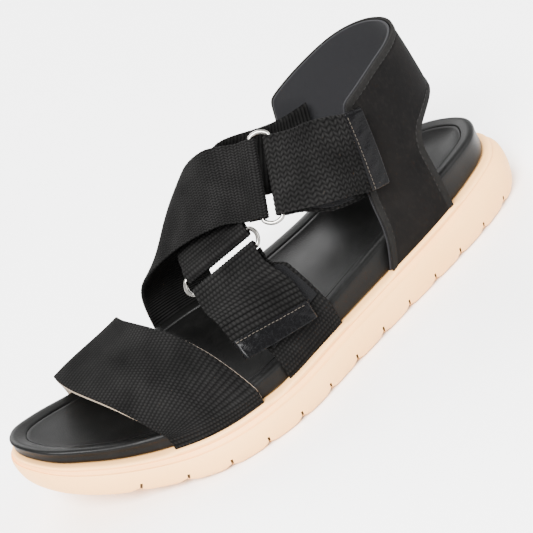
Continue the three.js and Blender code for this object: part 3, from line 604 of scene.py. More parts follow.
def strip(name, faces_in_out, material, pattern=None, pitch=(2.9, 1.6), relief=0.0,
          thickness=WEBBING, round_edge=0.7, selvedge=0.0, crease=None, samples=4,
          step=None):
    """A flat band as one closed shell: two faces that meet in rounded edges, with the weave's
    crowns in the mesh. `faces_in_out` are the coarse rows of its inner and outer face."""
    inner, outer = faces_in_out
    middle = (inner + outer) / 2
    centre = middle[:, middle.shape[1] // 2]
    along = np.concatenate([[0], np.cumsum(np.linalg.norm(np.diff(centre, axis=0), axis=1))])
    step_u = step or pitch[0] / samples
    u = np.linspace(0, along[-1], max(4, int(along[-1] / step_u)))
    width = np.linalg.norm(middle[:, 1:] - middle[:, :-1], axis=-1).sum(axis=1).mean()
    half = width / 2
    old_v = np.linspace(-half, half, middle.shape[1])
    top_v, bottom_v = places_across(width, step or pitch[1] / samples, round_edge)
    v = np.concatenate([top_v, bottom_v])
    facing = np.repeat([1.0, -1.0], [len(top_v), len(bottom_v)])[:, None]
    fine_middle, fine_up = resample(middle, along, u), resample(outer - inner, along, u)
    spread = resample(np.swapaxes(fine_middle, 0, 1), old_v, v)
    lift = unit(resample(np.swapaxes(fine_up, 0, 1), old_v, v))
    inset = np.maximum(0, (np.abs(v) - (half - round_edge)) / round_edge)
    profile = np.sqrt(np.maximum(0, 1 - inset ** 2))[:, None]
    uu, vv = np.meshgrid(u, v, indexing="xy")
    crown = np.zeros_like(uu)
    if pattern:
        crown = pattern(uu, vv, pitch)
        # The face towards the foot is only ribbed.
        crown[len(top_v):] = np.abs(np.sin(math.pi * uu[len(top_v):] / pitch[0]))
    rise = facing * (thickness / 2 * profile
                     + relief * (crown - CROWN_MEAN) * smoothstep(profile, 0.2, 0.9))
    if crease is not None:
        rise = rise + (facing > 0) * crease(uu, vv, along[-1], half) * profile
    sideways = unit(spread[len(top_v) - 1] - spread[0])
    wave = selvedge * np.sin(2 * math.pi * uu / pitch[0]) * np.sign(vv) * (1 - profile)
    points = spread + lift * rise[..., None] + sideways[None] * wave[..., None]
    piece = closed_band(name, points, material)
    store_uv(piece, uu, vv)
    store(piece, "crown", crown)
    return piece


def turn_outwards(piece):
    if mesh_volume(piece) < 0:
        piece.data.flip_normals()


def mesh_volume(piece):
    mesh = piece.data
    mesh.calc_loop_triangles()
    triangles = np.zeros(len(mesh.loop_triangles) * 3, np.int64)
    mesh.loop_triangles.foreach_get("vertices", triangles)
    places = np.zeros(len(mesh.vertices) * 3)
    mesh.vertices.foreach_get("co", places)
    a, b, c = places.reshape(-1, 3)[triangles.reshape(-1, 3)].transpose(1, 0, 2)
    return float((a * np.cross(b, c)).sum())


def loft(name, rings, material):
    """Closed rings of equal count joined one after another, each end closed by rungs between
    its two long sides."""
    rings = np.array(rings)
    levels, n = rings.shape[:2]
    index = np.arange(levels * n).reshape(levels, n)
    following = np.roll(index, -1, axis=1)
    quads = np.stack([index[:-1], following[:-1], following[1:], index[1:]], axis=-1)
    rungs = []
    for k in range(n // 2):
        rung = [k, k + 1, n - 1 - k, (n - k) % n]
        for level, order in ((0, rung[::-1]), (levels - 1, rung)):
            rungs.append(list(dict.fromkeys(int(index[level, i]) for i in order)))
    piece = mesh_object(name, rings.reshape(-1, 3), quads.reshape(-1, 4).tolist() + rungs,
                        material)
    turn_outwards(piece)
    return piece


def tube(name, path, radius, up, material, sides=18):
    """A round wire along a closed flat loop of points."""
    along = unit(np.roll(path, -1, axis=0) - np.roll(path, 1, axis=0))
    out = unit(np.cross(along, up))
    angle = np.linspace(0, 2 * math.pi, sides, endpoint=False)
    rings = (path[:, None] + out[:, None] * radius * np.cos(angle)[None, :, None]
             + up * radius * np.sin(angle)[None, :, None])
    n = len(path)
    index = np.arange(n * sides).reshape(n, sides)
    next_ring, next_side = np.roll(index, -1, axis=0), np.roll(index, -1, axis=1)
    corner = np.roll(next_ring, -1, axis=1)
    quads = np.stack([index, next_ring, corner, next_side], axis=-1)
    piece = mesh_object(name, rings.reshape(-1, 3), quads.reshape(-1, 4).tolist(), material)
    turn_outwards(piece)
    return piece


def seam(name, path, normals, stitch, radius, material):
    """A row of stitches: short rounded bars of thread along a path, one mesh for them all."""
    lengths = np.concatenate([[0], np.cumsum(np.linalg.norm(np.diff(path, axis=0), axis=1))])
    count = int(lengths[-1] / stitch)
    points, faces = [], []
    shares = np.array([0.0, 0.15, 0.5, 0.85, 1.0])
    radii = radius * np.array([0.25, 0.85, 1.0, 0.85, 0.25])
    lifts = radius * np.array([-0.9, 0.05, 0.35, 0.05, -0.9])
    angle = np.linspace(0, 2 * math.pi, 6, endpoint=False)
    for k in range(count):
        reach = (k + 0.12 + 0.76 * shares) * stitch
        line = np.stack([np.interp(reach, lengths, path[:, j]) for j in range(3)], axis=1)
        up = unit(np.stack([np.interp(reach, lengths, normals[:, j]) for j in range(3)], axis=1))
        side = unit(np.cross(up, np.gradient(line, axis=0)))
        ring = (line[:, None] + up[:, None] * lifts[:, None, None]
                + (side[:, None] * np.cos(angle)[None, :, None]
                   + up[:, None] * np.sin(angle)[None, :, None]) * radii[:, None, None])
        first = len(points)
        points.extend(ring.reshape(-1, 3))
        for i in range(4):
            for j in range(6):
                a, b = first + i * 6 + j, first + i * 6 + (j + 1) % 6
                faces.append([a, b, b + 6, a + 6])
        faces.append([first + j for j in range(5, -1, -1)])
        faces.append([first + 24 + j for j in range(6)])
    piece = mesh_object(name, points, faces, material)
    face_outwards(piece)
    return piece


# ------------------------------------------------------------------ materials

class Shader:
    """A node material being built up round its Principled shader."""

    def __init__(self, name, color, roughness, **sockets):
        self.material = bpy.data.materials.new(name)
        self.material.use_nodes = True
        self.tree = self.material.node_tree
        self.skin = self.tree.nodes["Principled BSDF"]
        self.skin.inputs["Base Color"].default_value = (*color, 1)
        self.skin.inputs["Roughness"].default_value = roughness
        for socket, value in sockets.items():
            self.skin.inputs[socket.replace("_", " ")].default_value = value

    def node(self, kind, inputs=(), **settings):
        made = self.tree.nodes.new(kind)
        for key, value in settings.items():
            setattr(made, key, value)
        for key, value in dict(inputs).items():
            if isinstance(value, bpy.types.NodeSocket):
                self.tree.links.new(value, made.inputs[key])
            else:
                made.inputs[key].default_value = value
        return made

    def place(self, scale=(1, 1, 1), uv=False):
        """Where a pattern lies: Object coordinates or the piece's own layout, in metres."""
        source = self.node("ShaderNodeTexCoord").outputs["UV" if uv else "Object"]
        return self.node("ShaderNodeMapping", {"Vector": source, "Scale": scale}).outputs[0]

    def noise(self, where, scale, detail=3.0, roughness=0.55):
        made = self.node("ShaderNodeTexNoise", {
            "Vector": where, "Scale": scale, "Detail": detail, "Roughness": roughness})
        return made.outputs["Fac"]

    def cells(self, where, scale):
        return self.node("ShaderNodeTexVoronoi",
                         {"Vector": where, "Scale": scale}).outputs["Distance"]

    def value(self, name):
        return self.node("ShaderNodeAttribute", attribute_name=name).outputs["Fac"]

    def remap(self, value, low, high, to_low=0.0, to_high=1.0):
        return self.node("ShaderNodeMapRange", {
            "Value": value, "From Min": low, "From Max": high, "To Min": to_low,
            "To Max": to_high}, clamp=True).outputs[0]

    def math(self, operation, a, b):
        return self.node("ShaderNodeMath", {0: a, 1: b}, operation=operation).outputs[0]

    def blend(self, factor, a, b):
        made = self.node("ShaderNodeMix", data_type="RGBA")
        for key, value in (("Factor", factor), ("A", a), ("B", b)):
            socket = [s for s in made.inputs
                      if s.name == key and s.type == ("VALUE" if key == "Factor" else "RGBA")][0]
            if isinstance(value, bpy.types.NodeSocket):
                self.tree.links.new(value, socket)
            else:
                socket.default_value = (*value, 1) if key != "Factor" else value
        return [s for s in made.outputs if s.type == "RGBA"][0]

    def color(self, value):
        self.tree.links.new(value, self.skin.inputs["Base Color"])

    def rough(self, value):
        self.tree.links.new(value, self.skin.inputs["Roughness"])

    def bump(self, heights):
        """Stacks (height, distance in metres, strength) bumps, coarse first."""
        normal = None
        for height, distance, strength in heights:
            made = self.node("ShaderNodeBump", {
                "Height": height, "Distance": distance, "Strength": strength})
            if normal is not None:
                self.tree.links.new(normal, made.inputs["Normal"])
            normal = made.outputs[0]
        self.tree.links.new(normal, self.skin.inputs["Normal"])


def webbing_material(settings, name):
    s = Shader(name, settings.color, 0.86, Sheen_Weight=0.004, Sheen_Roughness=0.45,
               Specular_IOR_Level=0.02)
    fibres = s.noise(s.place((5200, 1500, 1), uv=True), 1.0, 4.0, 0.7)
    patches = s.noise(s.place(), 60.0, 3.0)
    lint = s.cells(s.place(), 900.0)
    # Crowns are lightened towards the crown colour: partly wear, partly a painted highlight on the
    # yarns' lit tops.
    crown = s.math("MULTIPLY", s.value("crown"), s.remap(fibres, 0.25, 0.75, 0.35, 1.0))
    worn_and_highlit = s.math("MULTIPLY", crown, s.remap(patches, 0.3, 0.7, 0.45, 1.0))
    yarn = s.blend(worn_and_highlit, tuple(settings.color), tuple(settings.crown_wear_and_highlight_color))
    speck = s.remap(lint, 0.05, 0.09, 0.55, 0.0)
    s.color(s.blend(speck, yarn, (0.022, 0.021, 0.020)))
    s.rough(s.remap(fibres, 0.3, 0.7, 0.74, 0.95))
    s.bump([(patches, 0.0004, 0.3), (fibres, 0.00018, 0.75)])
    return s.material


def fleece_material(name, color, short=False):
    s = Shader(name, color, 0.95, Sheen_Weight=0.02, Sheen_Roughness=0.6,
               Specular_IOR_Level=0.08)
    fibres = s.noise(s.place((2600, 2600, 1), uv=True), 1.0, 5.0, 0.7)
    s.color(s.blend(fibres, color, tuple(3.2 * c for c in color)))
    s.bump([(fibres, 0.0003 if short else 0.0006, 0.8)])
    return s.material


def lining_material():
    s = Shader("Tan lining", (0.20, 0.145, 0.095), 0.9, Sheen_Weight=0.2)
    knit = s.noise(s.place((1500, 1500, 1), uv=True), 1.0, 3.0)
    shade = s.noise(s.place(), 45.0)
    tan = s.blend(knit, (0.13, 0.095, 0.062), (0.30, 0.225, 0.155))
    s.color(s.blend(s.remap(shade, 0.35, 0.7, 0.0, 0.5), tan, (0.16, 0.12, 0.085)))
    s.bump([(knit, 0.0003, 0.7)])
    return s.material


def foam_material(settings):
    s = Shader("Moulded foam", settings.color, 0.58, Specular_IOR_Level=0.35)
    where = s.place()
    cloud = s.noise(where, 22.0, 4.0)
    grain = s.noise(where, 900.0, 3.0)
    base = tuple(settings.color)
    warm = tuple(c * f for c, f in zip(base, (0.97, 0.93, 0.87)))
    foam = s.blend(s.remap(cloud, 0.35, 0.7), base, warm)
    # Colour darker towards the bottom of the sole, in noise patches.
    height = s.node("ShaderNodeSeparateXYZ", {"Vector": where}).outputs["Z"]
    low_darkening = s.math("MULTIPLY", s.remap(height, 0.007, 0.0, 0.0, 0.5),
                   s.remap(s.noise(where, 140.0, 5.0), 0.45, 0.75))
    foam = s.blend(low_darkening, foam, (0.5, 0.31, 0.16))
    smudge = s.remap(s.noise(where, 55.0, 6.0, 0.7), 0.62, 0.8, 0.0, 0.35)
    s.color(s.blend(smudge, foam, (0.66, 0.40, 0.19)))
    s.rough(s.remap(cloud, 0.3, 0.7, 0.5, 0.66))
    s.bump([(cloud, 0.0006, 0.25), (grain, 0.00006, 0.5)])
    return s.material


def groove_shade_material():
    # Painted shade: the slots' walls are the same foam, drawn dark for the shadow inside the narrow
    # slots; the noise only varies that shade's tone.
    s = Shader("Groove painted shade", (0.10, 0.055, 0.03), 0.9, Specular_IOR_Level=0.05)
    dust = s.noise(s.place(), 400.0)
    s.color(s.blend(dust, (0.07, 0.038, 0.02), (0.14, 0.08, 0.045)))
    return s.material


def skin_material(settings, name, gloss):
    s = Shader(name, settings.color, gloss, Specular_IOR_Level=0.09)
    where = s.place()
    grain = s.cells(where, 1500.0)
    pores = s.noise(where, 2600.0, 2.0)
    cloud = s.noise(where, 30.0, 4.0)
    dust = s.remap(s.noise(where, 120.0, 6.0, 0.7), 0.52, 0.8, 0.0, 0.4)
    base = tuple(settings.color)
    skin = s.blend(s.remap(cloud, 0.3, 0.7), base, tuple(1.35 * c for c in base))
    s.color(s.blend(dust, skin, (0.0085, 0.0083, 0.008)))
    s.rough(s.remap(cloud, 0.3, 0.7, gloss - 0.07, gloss + 0.1))
    s.bump([(cloud, 0.0008, 0.15), (grain, 0.00012, 0.35), (pores, 0.00005, 0.4)])
    return s.material


def nubuck_material(settings):
    s = Shader("Nubuck", settings.color, 0.88, Sheen_Weight=0.004, Sheen_Roughness=0.5,
               Specular_IOR_Level=0.03)
    where = s.place()
    broad = s.noise(where, 28.0, 5.0, 0.6)
    brushed = s.noise(s.place((700, 700, 380)), 1.0, 5.0)
    nap = s.noise(where, 2400.0, 3.0)
    nubuck = s.blend(s.remap(broad, 0.38, 0.68), tuple(settings.color),
                     tuple(settings.scuff_color))
    nubuck = s.blend(s.remap(brushed, 0.5, 0.75, 0.0, 0.45), nubuck, (0.0088, 0.0079, 0.0071))
    specks = s.remap(s.cells(where, 420.0), 0.04, 0.07, 0.5, 0.0)
    nubuck = s.blend(specks, nubuck, (0.02, 0.0175, 0.015))
    band = s.value("band")
    nubuck = s.blend(s.math("MULTIPLY", band, s.remap(brushed, 0.2, 0.7, 0.35, 0.9)), nubuck,
                     (0.0095, 0.0092, 0.0088))
    s.color(nubuck)
    s.rough(s.remap(broad, 0.3, 0.7, 0.80, 0.94))
    s.bump([(broad, 0.0010, 0.2), (nap, 0.00012, 0.6)])
    return s.material


def patent_material():
    s = Shader("Glossy cap", (0.0015, 0.0015, 0.0017), 0.26, Coat_Weight=0.03, Coat_Roughness=0.06,
               Specular_IOR_Level=0.055)
    where = s.place()
    creases = s.noise(s.place((90, 90, 260)), 1.0, 5.0, 0.65)
    scratches = s.noise(s.place((900, 250, 900)), 1.0, 4.0, 0.7)
    rubbed = s.remap(scratches, 0.56, 0.72, 0.0, 0.6)
    s.color(s.blend(rubbed, (0.0015, 0.0015, 0.0017), (0.006, 0.0064, 0.0072)))
    s.rough(s.remap(scratches, 0.4, 0.7, 0.18, 0.42))
    s.bump([(creases, 0.0012, 0.45), (s.noise(where, 700.0), 0.00008, 0.35)])
    return s.material


def nickel_material(settings):
    s = Shader("Polished nickel", settings.color, 0.14, Metallic=1.0)
    where = s.place()
    haze = s.noise(where, 160.0, 4.0)
    base = tuple(settings.color)
    s.color(s.blend(s.remap(haze, 0.4, 0.75, 0.0, 0.6), base, tuple(0.72 * c for c in base)))
    s.rough(s.remap(haze, 0.35, 0.7, 0.08, 0.26))
    s.bump([(s.noise(where, 1300.0, 4.0), 0.00002, 0.4)])
    return s.material


def thread_material(name, color):
    s = Shader(name, color, 0.8, Specular_IOR_Level=0.15)
    twist = s.noise(s.place((5000, 5000, 5000)), 1.0, 2.0)
    s.color(s.blend(twist, tuple(0.7 * c for c in color), tuple(1.4 * c for c in color)))
    s.bump([(twist, 0.00008, 0.6)])
    return s.material


def board_material():
    s = Shader("Pressed board", (0.30, 0.22, 0.14), 0.92)
    fibre = s.noise(s.place((300, 900, 300)), 1.0, 4.0)
    s.color(s.blend(fibre, (0.24, 0.17, 0.105), (0.38, 0.29, 0.19)))
    s.bump([(fibre, 0.0003, 0.5)])
    return s.material


# ------------------------------------------------------------------ sole and footbed

def ring(out, shrink, height):
    """The outline moved out by `out`, then drawn in towards the sole's spine by `shrink`."""
    along = unit(np.roll(outline, -1, axis=0) - np.roll(outline, 1, axis=0))
    reach = out * (swell(outline[:, 0]) if out > 0 else 1.0)
    x = outline[:, 0] + along[:, 1] * reach
    y = outline[:, 1] - along[:, 0] * reach
    spine_x = np.clip(x, TOE_X + 40, HEEL_X - 32)
    spine_y = (edge(spine_x, -1) + edge(spine_x, 1)) / 2
    x = spine_x + (x - spine_x) * shrink
    y = spine_y + (y - spine_y) * shrink
    return np.stack([x, y, height(x)], axis=1)


FIRST_GROOVE, LAST_GROOVE = -102.0, 111.5
LUG_ROUND = 4.6            # how far from a groove a lug's lower edge starts to turn up
LUG_RISE = 2.3
TOP_LIP = 2.6


def groove_places(count):
    return np.linspace(FIRST_GROOVE, LAST_GROOVE, count)


def lug(x, count):
    """Rise of the tread's outer edge where a lug rounds off into a groove."""
    near = np.abs(np.asarray(x)[:, None] - groove_places(count)[None]).min(axis=1)
    return LUG_RISE * np.clip(1 - near / LUG_ROUND, 0, 1) ** 2


# Where straps go into the sole, by side: (middle, half width) along x.
ENTRIES = {-1: ((-60.5, 21), (-9, 18.5), (65, 22)), 1: ((-75, 21), (-27, 18.5), (65, 22))}
LIP_RAISE = 1.1            # the lip's rise and its reach outwards over a strap that goes in
LIP_REACH = 0.8


def swollen(points, share):
    """The lip pushed up and out by the straps that go in under it."""
    points = points.copy()
    along = unit(np.roll(points, -1, axis=0) - np.roll(points, 1, axis=0))
    for side, entries in ENTRIES.items():
        for middle, half in entries:
            off = np.abs(points[:, 0] - middle)
            lift = share * smoothstep(off, half + 4, half - 2) * (points[:, 1] * side > 0)
            points[:, 0] += along[:, 1] * LIP_REACH * lift
            points[:, 1] -= along[:, 0] * LIP_REACH * lift
            points[:, 2] += LIP_RAISE * lift
    return points


def build_sole(settings):
    foam = foam_material(settings)
    # Offsets beyond the outline against the share of the side's height.
    side = through([(0, 4.4), (0.045, 5.6), (0.18, 6.9), (0.45, 7.6), (0.7, 7.1), (0.85, 5.4)])

    def at(share):
        def height(x):
            foot = tread(x) + lug(x, settings.grooves) * (1 - share) ** 6
            return foot + (junction(x) - GAP - foot) * share
        return height

    def under(down):
        return lambda x: junction(x) - down
    rings = [ring(2.0, shrink, tread) for shrink in (0.12, 0.5, 0.9)]
    rings.append(ring(3.4, 1, tread))
    for share in (0.0, 0.02, 0.045, 0.09, 0.18, 0.3, 0.42, 0.54, 0.64, 0.72, 0.78):
        rings.append(ring(float(side(share)), 1, at(share)))
    lip = [(4.9, TOP_LIP + 1.3), (4.3, TOP_LIP + 0.7), (3.75, TOP_LIP + 0.2), (3.5, TOP_LIP - 0.15),
           (3.62, TOP_LIP - 0.5), (3.75, TOP_LIP - 0.9), (3.6, 1.2), (3.1, 0.75), (2.3, 0.55),
           (1.1, 0.6), (0.3, 0.62)]
    rings += [swollen(ring(out, 1, under(down)), float(smoothstep(down, TOP_LIP, 0.9)))
              for out, down in lip]
    rings += [ring(0.3, shrink, under(2 * GAP)) for shrink in (0.9, 0.5, 0.12)]
    sole = loft("sole_moulding", rings, foam)
    cut_grooves(sole, settings)
    select_only(sole)
    bpy.ops.object.shade_smooth_by_angle(angle=math.radians(38))
    return sole


def cut_grooves(sole, settings):
    """Thin slots through the tread, cut out of the sole, with painted shade on their walls."""
    groove_shade = groove_shade_material()
    sole.data.materials.append(groove_shade)
    for k, x in enumerate(groove_places(settings.grooves)):
        bpy.ops.object.select_all(action="DESELECT")
        middle = (np.array([x, 0, float(tread(x))]) + SHIFT) * MM
        bpy.ops.mesh.primitive_cube_add(size=1, location=tuple(middle))
        cutter = bpy.context.active_object
        lean = math.atan(float(tread(x - 0.5) - tread(x + 0.5)))
        cutter.scale = (settings.groove_width, 160 * MM, 2 * settings.groove_depth)
        cutter.rotation_euler = (0, lean, 0)
        bpy.ops.object.transform_apply(location=True, rotation=True, scale=True)
        cutter.data.materials.append(groove_shade)
        select_only(sole)
        slot = sole.modifiers.new(f"groove_{k}", "BOOLEAN")
        slot.operation = "DIFFERENCE"
        slot.solver = "EXACT"
        slot.material_mode = "TRANSFER"
        slot.object = cutter
        bpy.ops.object.modifier_apply(modifier=slot.name)
        bpy.data.objects.remove(cutter)


SOCK_INSET = 6.8


def build_footbed(settings):
    skin = skin_material(settings, "Footbed skin", 0.40)
    sock_skin = skin_material(settings, "Sock skin", 0.46)

    def up(height):
        return lambda x: junction(x) + height

    def below(down):
        return lambda x: rim_height(x) - down

    def bowl(share, lift=0.0):
        return lambda x: rim_height(x) - SOCK_THICKNESS - (1 + (dish(x) - 1) * share) + lift
    rings = [ring(-1.3, shrink, up(0)) for shrink in (0.12, 0.5, 0.9, 1)]
    walls = [(-0.5, 0.35), (-0.15, 0.9), (-0.1, 1.6)]
    rings += [ring(out, 1, up(height)) for out, height in walls]
    rings += [ring(-0.1 - 0.25 * math.sin(math.pi * t), 1,
                   lambda x, t=t: junction(x) + 1.6 + (wall(x) - 3.0) * t)
              for t in (0.2, 0.4, 0.6, 0.8, 1.0)]
    edge_roll = [(-0.2, 0.9), (-0.6, 0.35), (-1.2, -0.1), (-2.0, -0.38), (-2.9, -0.4),
                 (-3.7, -0.22), (-4.6, 0.06), (-5.6, 0.36), (-6.35, 0.62), (-6.6, 0.95)]
    rings += [ring(out, 1, below(down)) for out, down in edge_roll]
    rings += [ring(-SOCK_INSET, shrink, bowl(share, -GAP))
              for shrink, share in ((0.985, 0.15), (0.75, 0.7), (0.4, 1), (0.12, 1))]
    footbed = loft("footbed_moulding", rings, skin)
    faces = [(0.12, 1), (0.25, 1), (0.4, 1), (0.58, 0.9), (0.75, 0.7), (0.88, 0.4), (0.95, 0.16)]
    under = [ring(-SOCK_INSET, shrink, bowl(share)) for shrink, share in faces]
    over = [ring(-SOCK_INSET, shrink, bowl(share, SOCK_THICKNESS)) for shrink, share in faces]
    rim = [ring(-SOCK_INSET, 0.985, bowl(0.03, 0.1)), ring(-SOCK_INSET, 0.996, bowl(0, 0.7)),
           ring(-SOCK_INSET, 0.998, bowl(0, 1.1)), ring(-SOCK_INSET, 0.99, bowl(0, 1.28))]
    sock = loft("footbed_sock_skin", [*under, *rim, *over[::-1]], sock_skin)
    return footbed, sock


# ------------------------------------------------------------------ sling

SLING_FRONT = 40.0
SLING_POWER = 2 / 2.2
SLING_HALF = {-1: 33.9, 1: 33.0}
LEG_BACK = 85.0
SLING_STEP = 54.0
sling_back = through([(20, 111), (65, 110.5), (85, 109), (101, 107)])
sling_front_edge = through([(17, 42), (35, 48), (51, 50), (75, 54.5), (101, 60.5)])
SLING_TOP = {-1: through([(58, 95), (70, 98), (83, 100.5), (95, 101), (110, 101)]),
             1: through([(52, 82), (65, 88.5), (80, 94), (95, 98.5), (110, 101)])}
sling_bottom = through([(85, 54), (87, 59.5), (92, 62.5), (100, 65), (110, 66), (116, 65.5)])


def sling_point(turn, z):
    side = -1 if turn < 0 else 1
    angle = abs(turn) * math.pi / 2
    x = SLING_FRONT + (float(sling_back(z)) - SLING_FRONT) * math.cos(angle) ** SLING_POWER
    y = side * SLING_HALF[side] * math.sin(angle) ** SLING_POWER
    base = float(rim_height(x))
    on_wall = float(edge(x, side)) + side * GAP
    share = float(smoothstep(z, base, base + 22))
    return np.array([x, on_wall + (y - on_wall) * share, z])


def sling_turn(x, side, z):
    share = np.clip((x - SLING_FRONT) / (float(sling_back(z)) - SLING_FRONT), 0, 1)
    return side * math.acos(share ** (1 / SLING_POWER)) / (math.pi / 2)


def sling_tuck(x, side, bend, inwards):
    angle = bend * math.pi / 2
    radius = CORNER + GAP
    drawn_in = GAP - radius * (1 - math.cos(angle)) - inwards
    return np.array([x, float(edge(x, side)) + side * drawn_in,
                     float(junction(x)) + CORNER - radius * math.sin(angle)])


SEAM_FLOOR = 30 * MM       # height under which the sling is not stitched
ANKLE = np.array([0.07, 0.003, 0.06])      # middle of the sling's loop, in metres
LAYOUT_MIDDLE, LAYOUT_RADIUS = 0.06, 0.04  # of the round that the lining is laid flat from
LEG_COLUMNS, LOOP_COLUMNS, LEG_ROWS, LOOP_ROWS = 6, 12, 10, 8
LOOP_LOW_EDGE, LOOP_HIGH_EDGE = 62, 98     # heights where the loop's edges are read


def sling_grid():
    """Points of the sling's inner face, and a test of which of its cells exist."""
    plan = []
    for side in (-1, 1):
        half = [(side, t, 0.0) for t in np.linspace(0, 1, LEG_COLUMNS + 1)]
        half += [(side, 1.0, t) for t in np.linspace(0, 1, LOOP_COLUMNS + 1)[1:]]
        plan += half if side < 0 else half[::-1][1:]
    grid = []
    for side, t, loop in plan:
        def leg_x(z, t=t):
            front = float(sling_front_edge(z))
            return front + (LEG_BACK - front) * t

        def turn_at(z, side=side, t=t, loop=loop):
            if loop == 0:
                return sling_turn(leg_x(z), side, z)
            return sling_turn(LEG_BACK, side, z) * (1 - loop ** 1.2)
        x0 = leg_x(17)
        points = [sling_tuck(x0, side, 1, inwards) for inwards in (TAB, TAB / 2, 0)]
        points += [sling_tuck(x0, side, bend, 0) for bend in (0.66, 0.33, 0)]
        low = float(junction(x0)) + CORNER
        for z in np.linspace(low, SLING_STEP, LEG_ROWS - 4)[1:-1]:
            points.append(sling_point(sling_turn(leg_x(z), side, z), z))
        edge_low = sling_point(turn_at(LOOP_LOW_EDGE), LOOP_LOW_EDGE)[0]
        edge_high = sling_point(turn_at(LOOP_HIGH_EDGE), LOOP_HIGH_EDGE)[0]
        start = SLING_STEP if loop == 0 else float(sling_bottom(np.clip(edge_low, 85, 116)))
        stop = float(SLING_TOP[side](np.clip(edge_high, 52, 110)))
        points += [sling_point(turn_at(z), z) for z in np.linspace(start, stop, LOOP_ROWS + 1)]
        grid.append(points)
    step_row = len(grid[0]) - 1 - LOOP_ROWS
    last_column = len(grid) - 1

    def keep(i, j):
        return j >= step_row or i < LEG_COLUMNS or i >= last_column - LEG_COLUMNS
    return np.array(grid), keep


def sling_sheet(name, low, thickness, material):
    """One layer of the sling, smoothed from its grid, set at the middle of its thickness."""
    grid, keep = sling_grid()
    columns, rows = grid.shape[:2]
    normals = np.zeros_like(grid)
    faces = []
    for i in range(columns - 1):
        for j in range(rows - 1):
            if keep(i, j):
                a, b, c, d = grid[i, j], grid[i + 1, j], grid[i + 1, j + 1], grid[i, j + 1]
                for at in ((i, j), (i + 1, j), (i + 1, j + 1), (i, j + 1)):
                    normals[at] += unit(np.cross(c - a, d - b))
                faces.append([i * rows + j, (i + 1) * rows + j, (i + 1) * rows + j + 1,
                              i * rows + j + 1])
    middle = grid + unit(normals) * (low + thickness / 2)
    piece = mesh_object(name, middle.reshape(-1, 3), faces, material)
    select_only(piece)
    bpy.ops.object.mode_set(mode="EDIT")
    bpy.ops.mesh.select_all(action="SELECT")
    bpy.ops.mesh.delete_loose(use_verts=True, use_edges=True, use_faces=False)
    bpy.ops.object.mode_set(mode="OBJECT")
    smooth = piece.modifiers.new("smooth", "SUBSURF")
    smooth.levels = smooth.render_levels = 3
    bpy.ops.object.modifier_apply(modifier="smooth")
    return piece


def boundary_distance(piece):
    """Distance of every vertex from the sheet's open edge, with that edge and the vertices."""
    mesh = piece.data
    edges = np.array([e.vertices[:] for e in mesh.edges])
    uses = np.zeros(len(edges), int)
    keys = {tuple(sorted(e)): k for k, e in enumerate(edges.tolist())}
    for polygon in mesh.polygons:
        for key in polygon.edge_keys:
            uses[keys[tuple(sorted(key))]] += 1
    places = np.array([v.co[:] for v in mesh.vertices])
    open_edges = edges[uses == 1]
    a, b = places[open_edges[:, 0]], places[open_edges[:, 1]]
    best = np.full(len(places), 1e9)
    for p, q in zip(a, b):
        line = q - p
        t = np.clip(((places - p) @ line) / max(line @ line, 1e-18), 0, 1)
        best = np.minimum(best, np.linalg.norm(places - (p + t[:, None] * line), axis=1))
    return best, open_edges, places


def thicken(piece, thickness, bevel):
    select_only(piece)
    solid = piece.modifiers.new("thickness", "SOLIDIFY")
    solid.thickness = thickness * MM
    solid.offset = 0
    solid.use_even_offset = True
    bpy.ops.object.modifier_apply(modifier="thickness")
    rounding = piece.modifiers.new("rounding", "BEVEL")
    rounding.width = bevel * MM
    rounding.segments = 3
    rounding.limit_method = "ANGLE"
    rounding.angle_limit = math.radians(50)
    bpy.ops.object.modifier_apply(modifier="rounding")
    turn_outwards(piece)


def edge_chain(open_edges):
    """The open edges as one closed chain of vertex numbers."""
    following = {}
    for a, b in open_edges.tolist():
        following.setdefault(a, []).append(b)
        following.setdefault(b, []).append(a)
    start = open_edges[0][0]
    chain, before = [int(start)], None
    while True:
        options = [n for n in following[chain[-1]] if n != before]
        before = chain[-1]
        if not options or options[0] == chain[0]:
            return chain
        chain.append(options[0])


def build_sling(settings):
    nubuck = nubuck_material(settings)
    lining = fleece_material("Sling lining", (0.006, 0.006, 0.0066), short=True)
    thread = thread_material("Sling thread", (0.008, 0.0075, 0.007))
    shell = sling_sheet("sling_nubuck", SLING_LINING + GAP, NUBUCK, nubuck)
    distance, open_edges, places = boundary_distance(shell)
    band = settings.band
    store(shell, "band", smoothstep(distance, band * 1.08, band * 0.9))
    chain = edge_chain(open_edges)
    normals = np.array([v.normal[:] for v in shell.data.vertices])
    # Folded edge: a soft ridge with a pressed-in stitch line behind it.
    ridge = 0.35 * MM * smoothstep(distance, band, band * 0.6)
    groove = -0.3 * MM * np.exp(-((distance - band) / (0.5 * MM)) ** 2)
    outward = outward_of(places, normals)
    places = places + outward * (ridge + groove)[:, None]
    shell.data.vertices.foreach_set("co", places.astype(np.float32).ravel())
    stitches = sling_seam(places, outward, distance, chain, settings, thread)
    thicken(shell, NUBUCK, 0.35)
    inner = sling_sheet("sling_inside", 0, SLING_LINING, lining)
    flat_layout(inner)
    thicken(inner, SLING_LINING, 0.25)
    return shell, inner, stitches


def flat_layout(piece):
    """A layout by girth and height, so that a knit follows the sheet."""
    places = np.array([v.co[:] for v in piece.data.vertices])
    girth = np.arctan2(places[:, 1], places[:, 0] - LAYOUT_MIDDLE) * LAYOUT_RADIUS
    store_uv(piece, girth / MM, places[:, 2] / MM)


def outward_of(places, normals):
    """Normals turned to point away from the ankle."""
    away = places - ANKLE
    away[:, 2] = 0
    facing = np.sign((away * normals).sum(axis=1))
    return normals * np.where(facing == 0, 1, facing)[:, None]


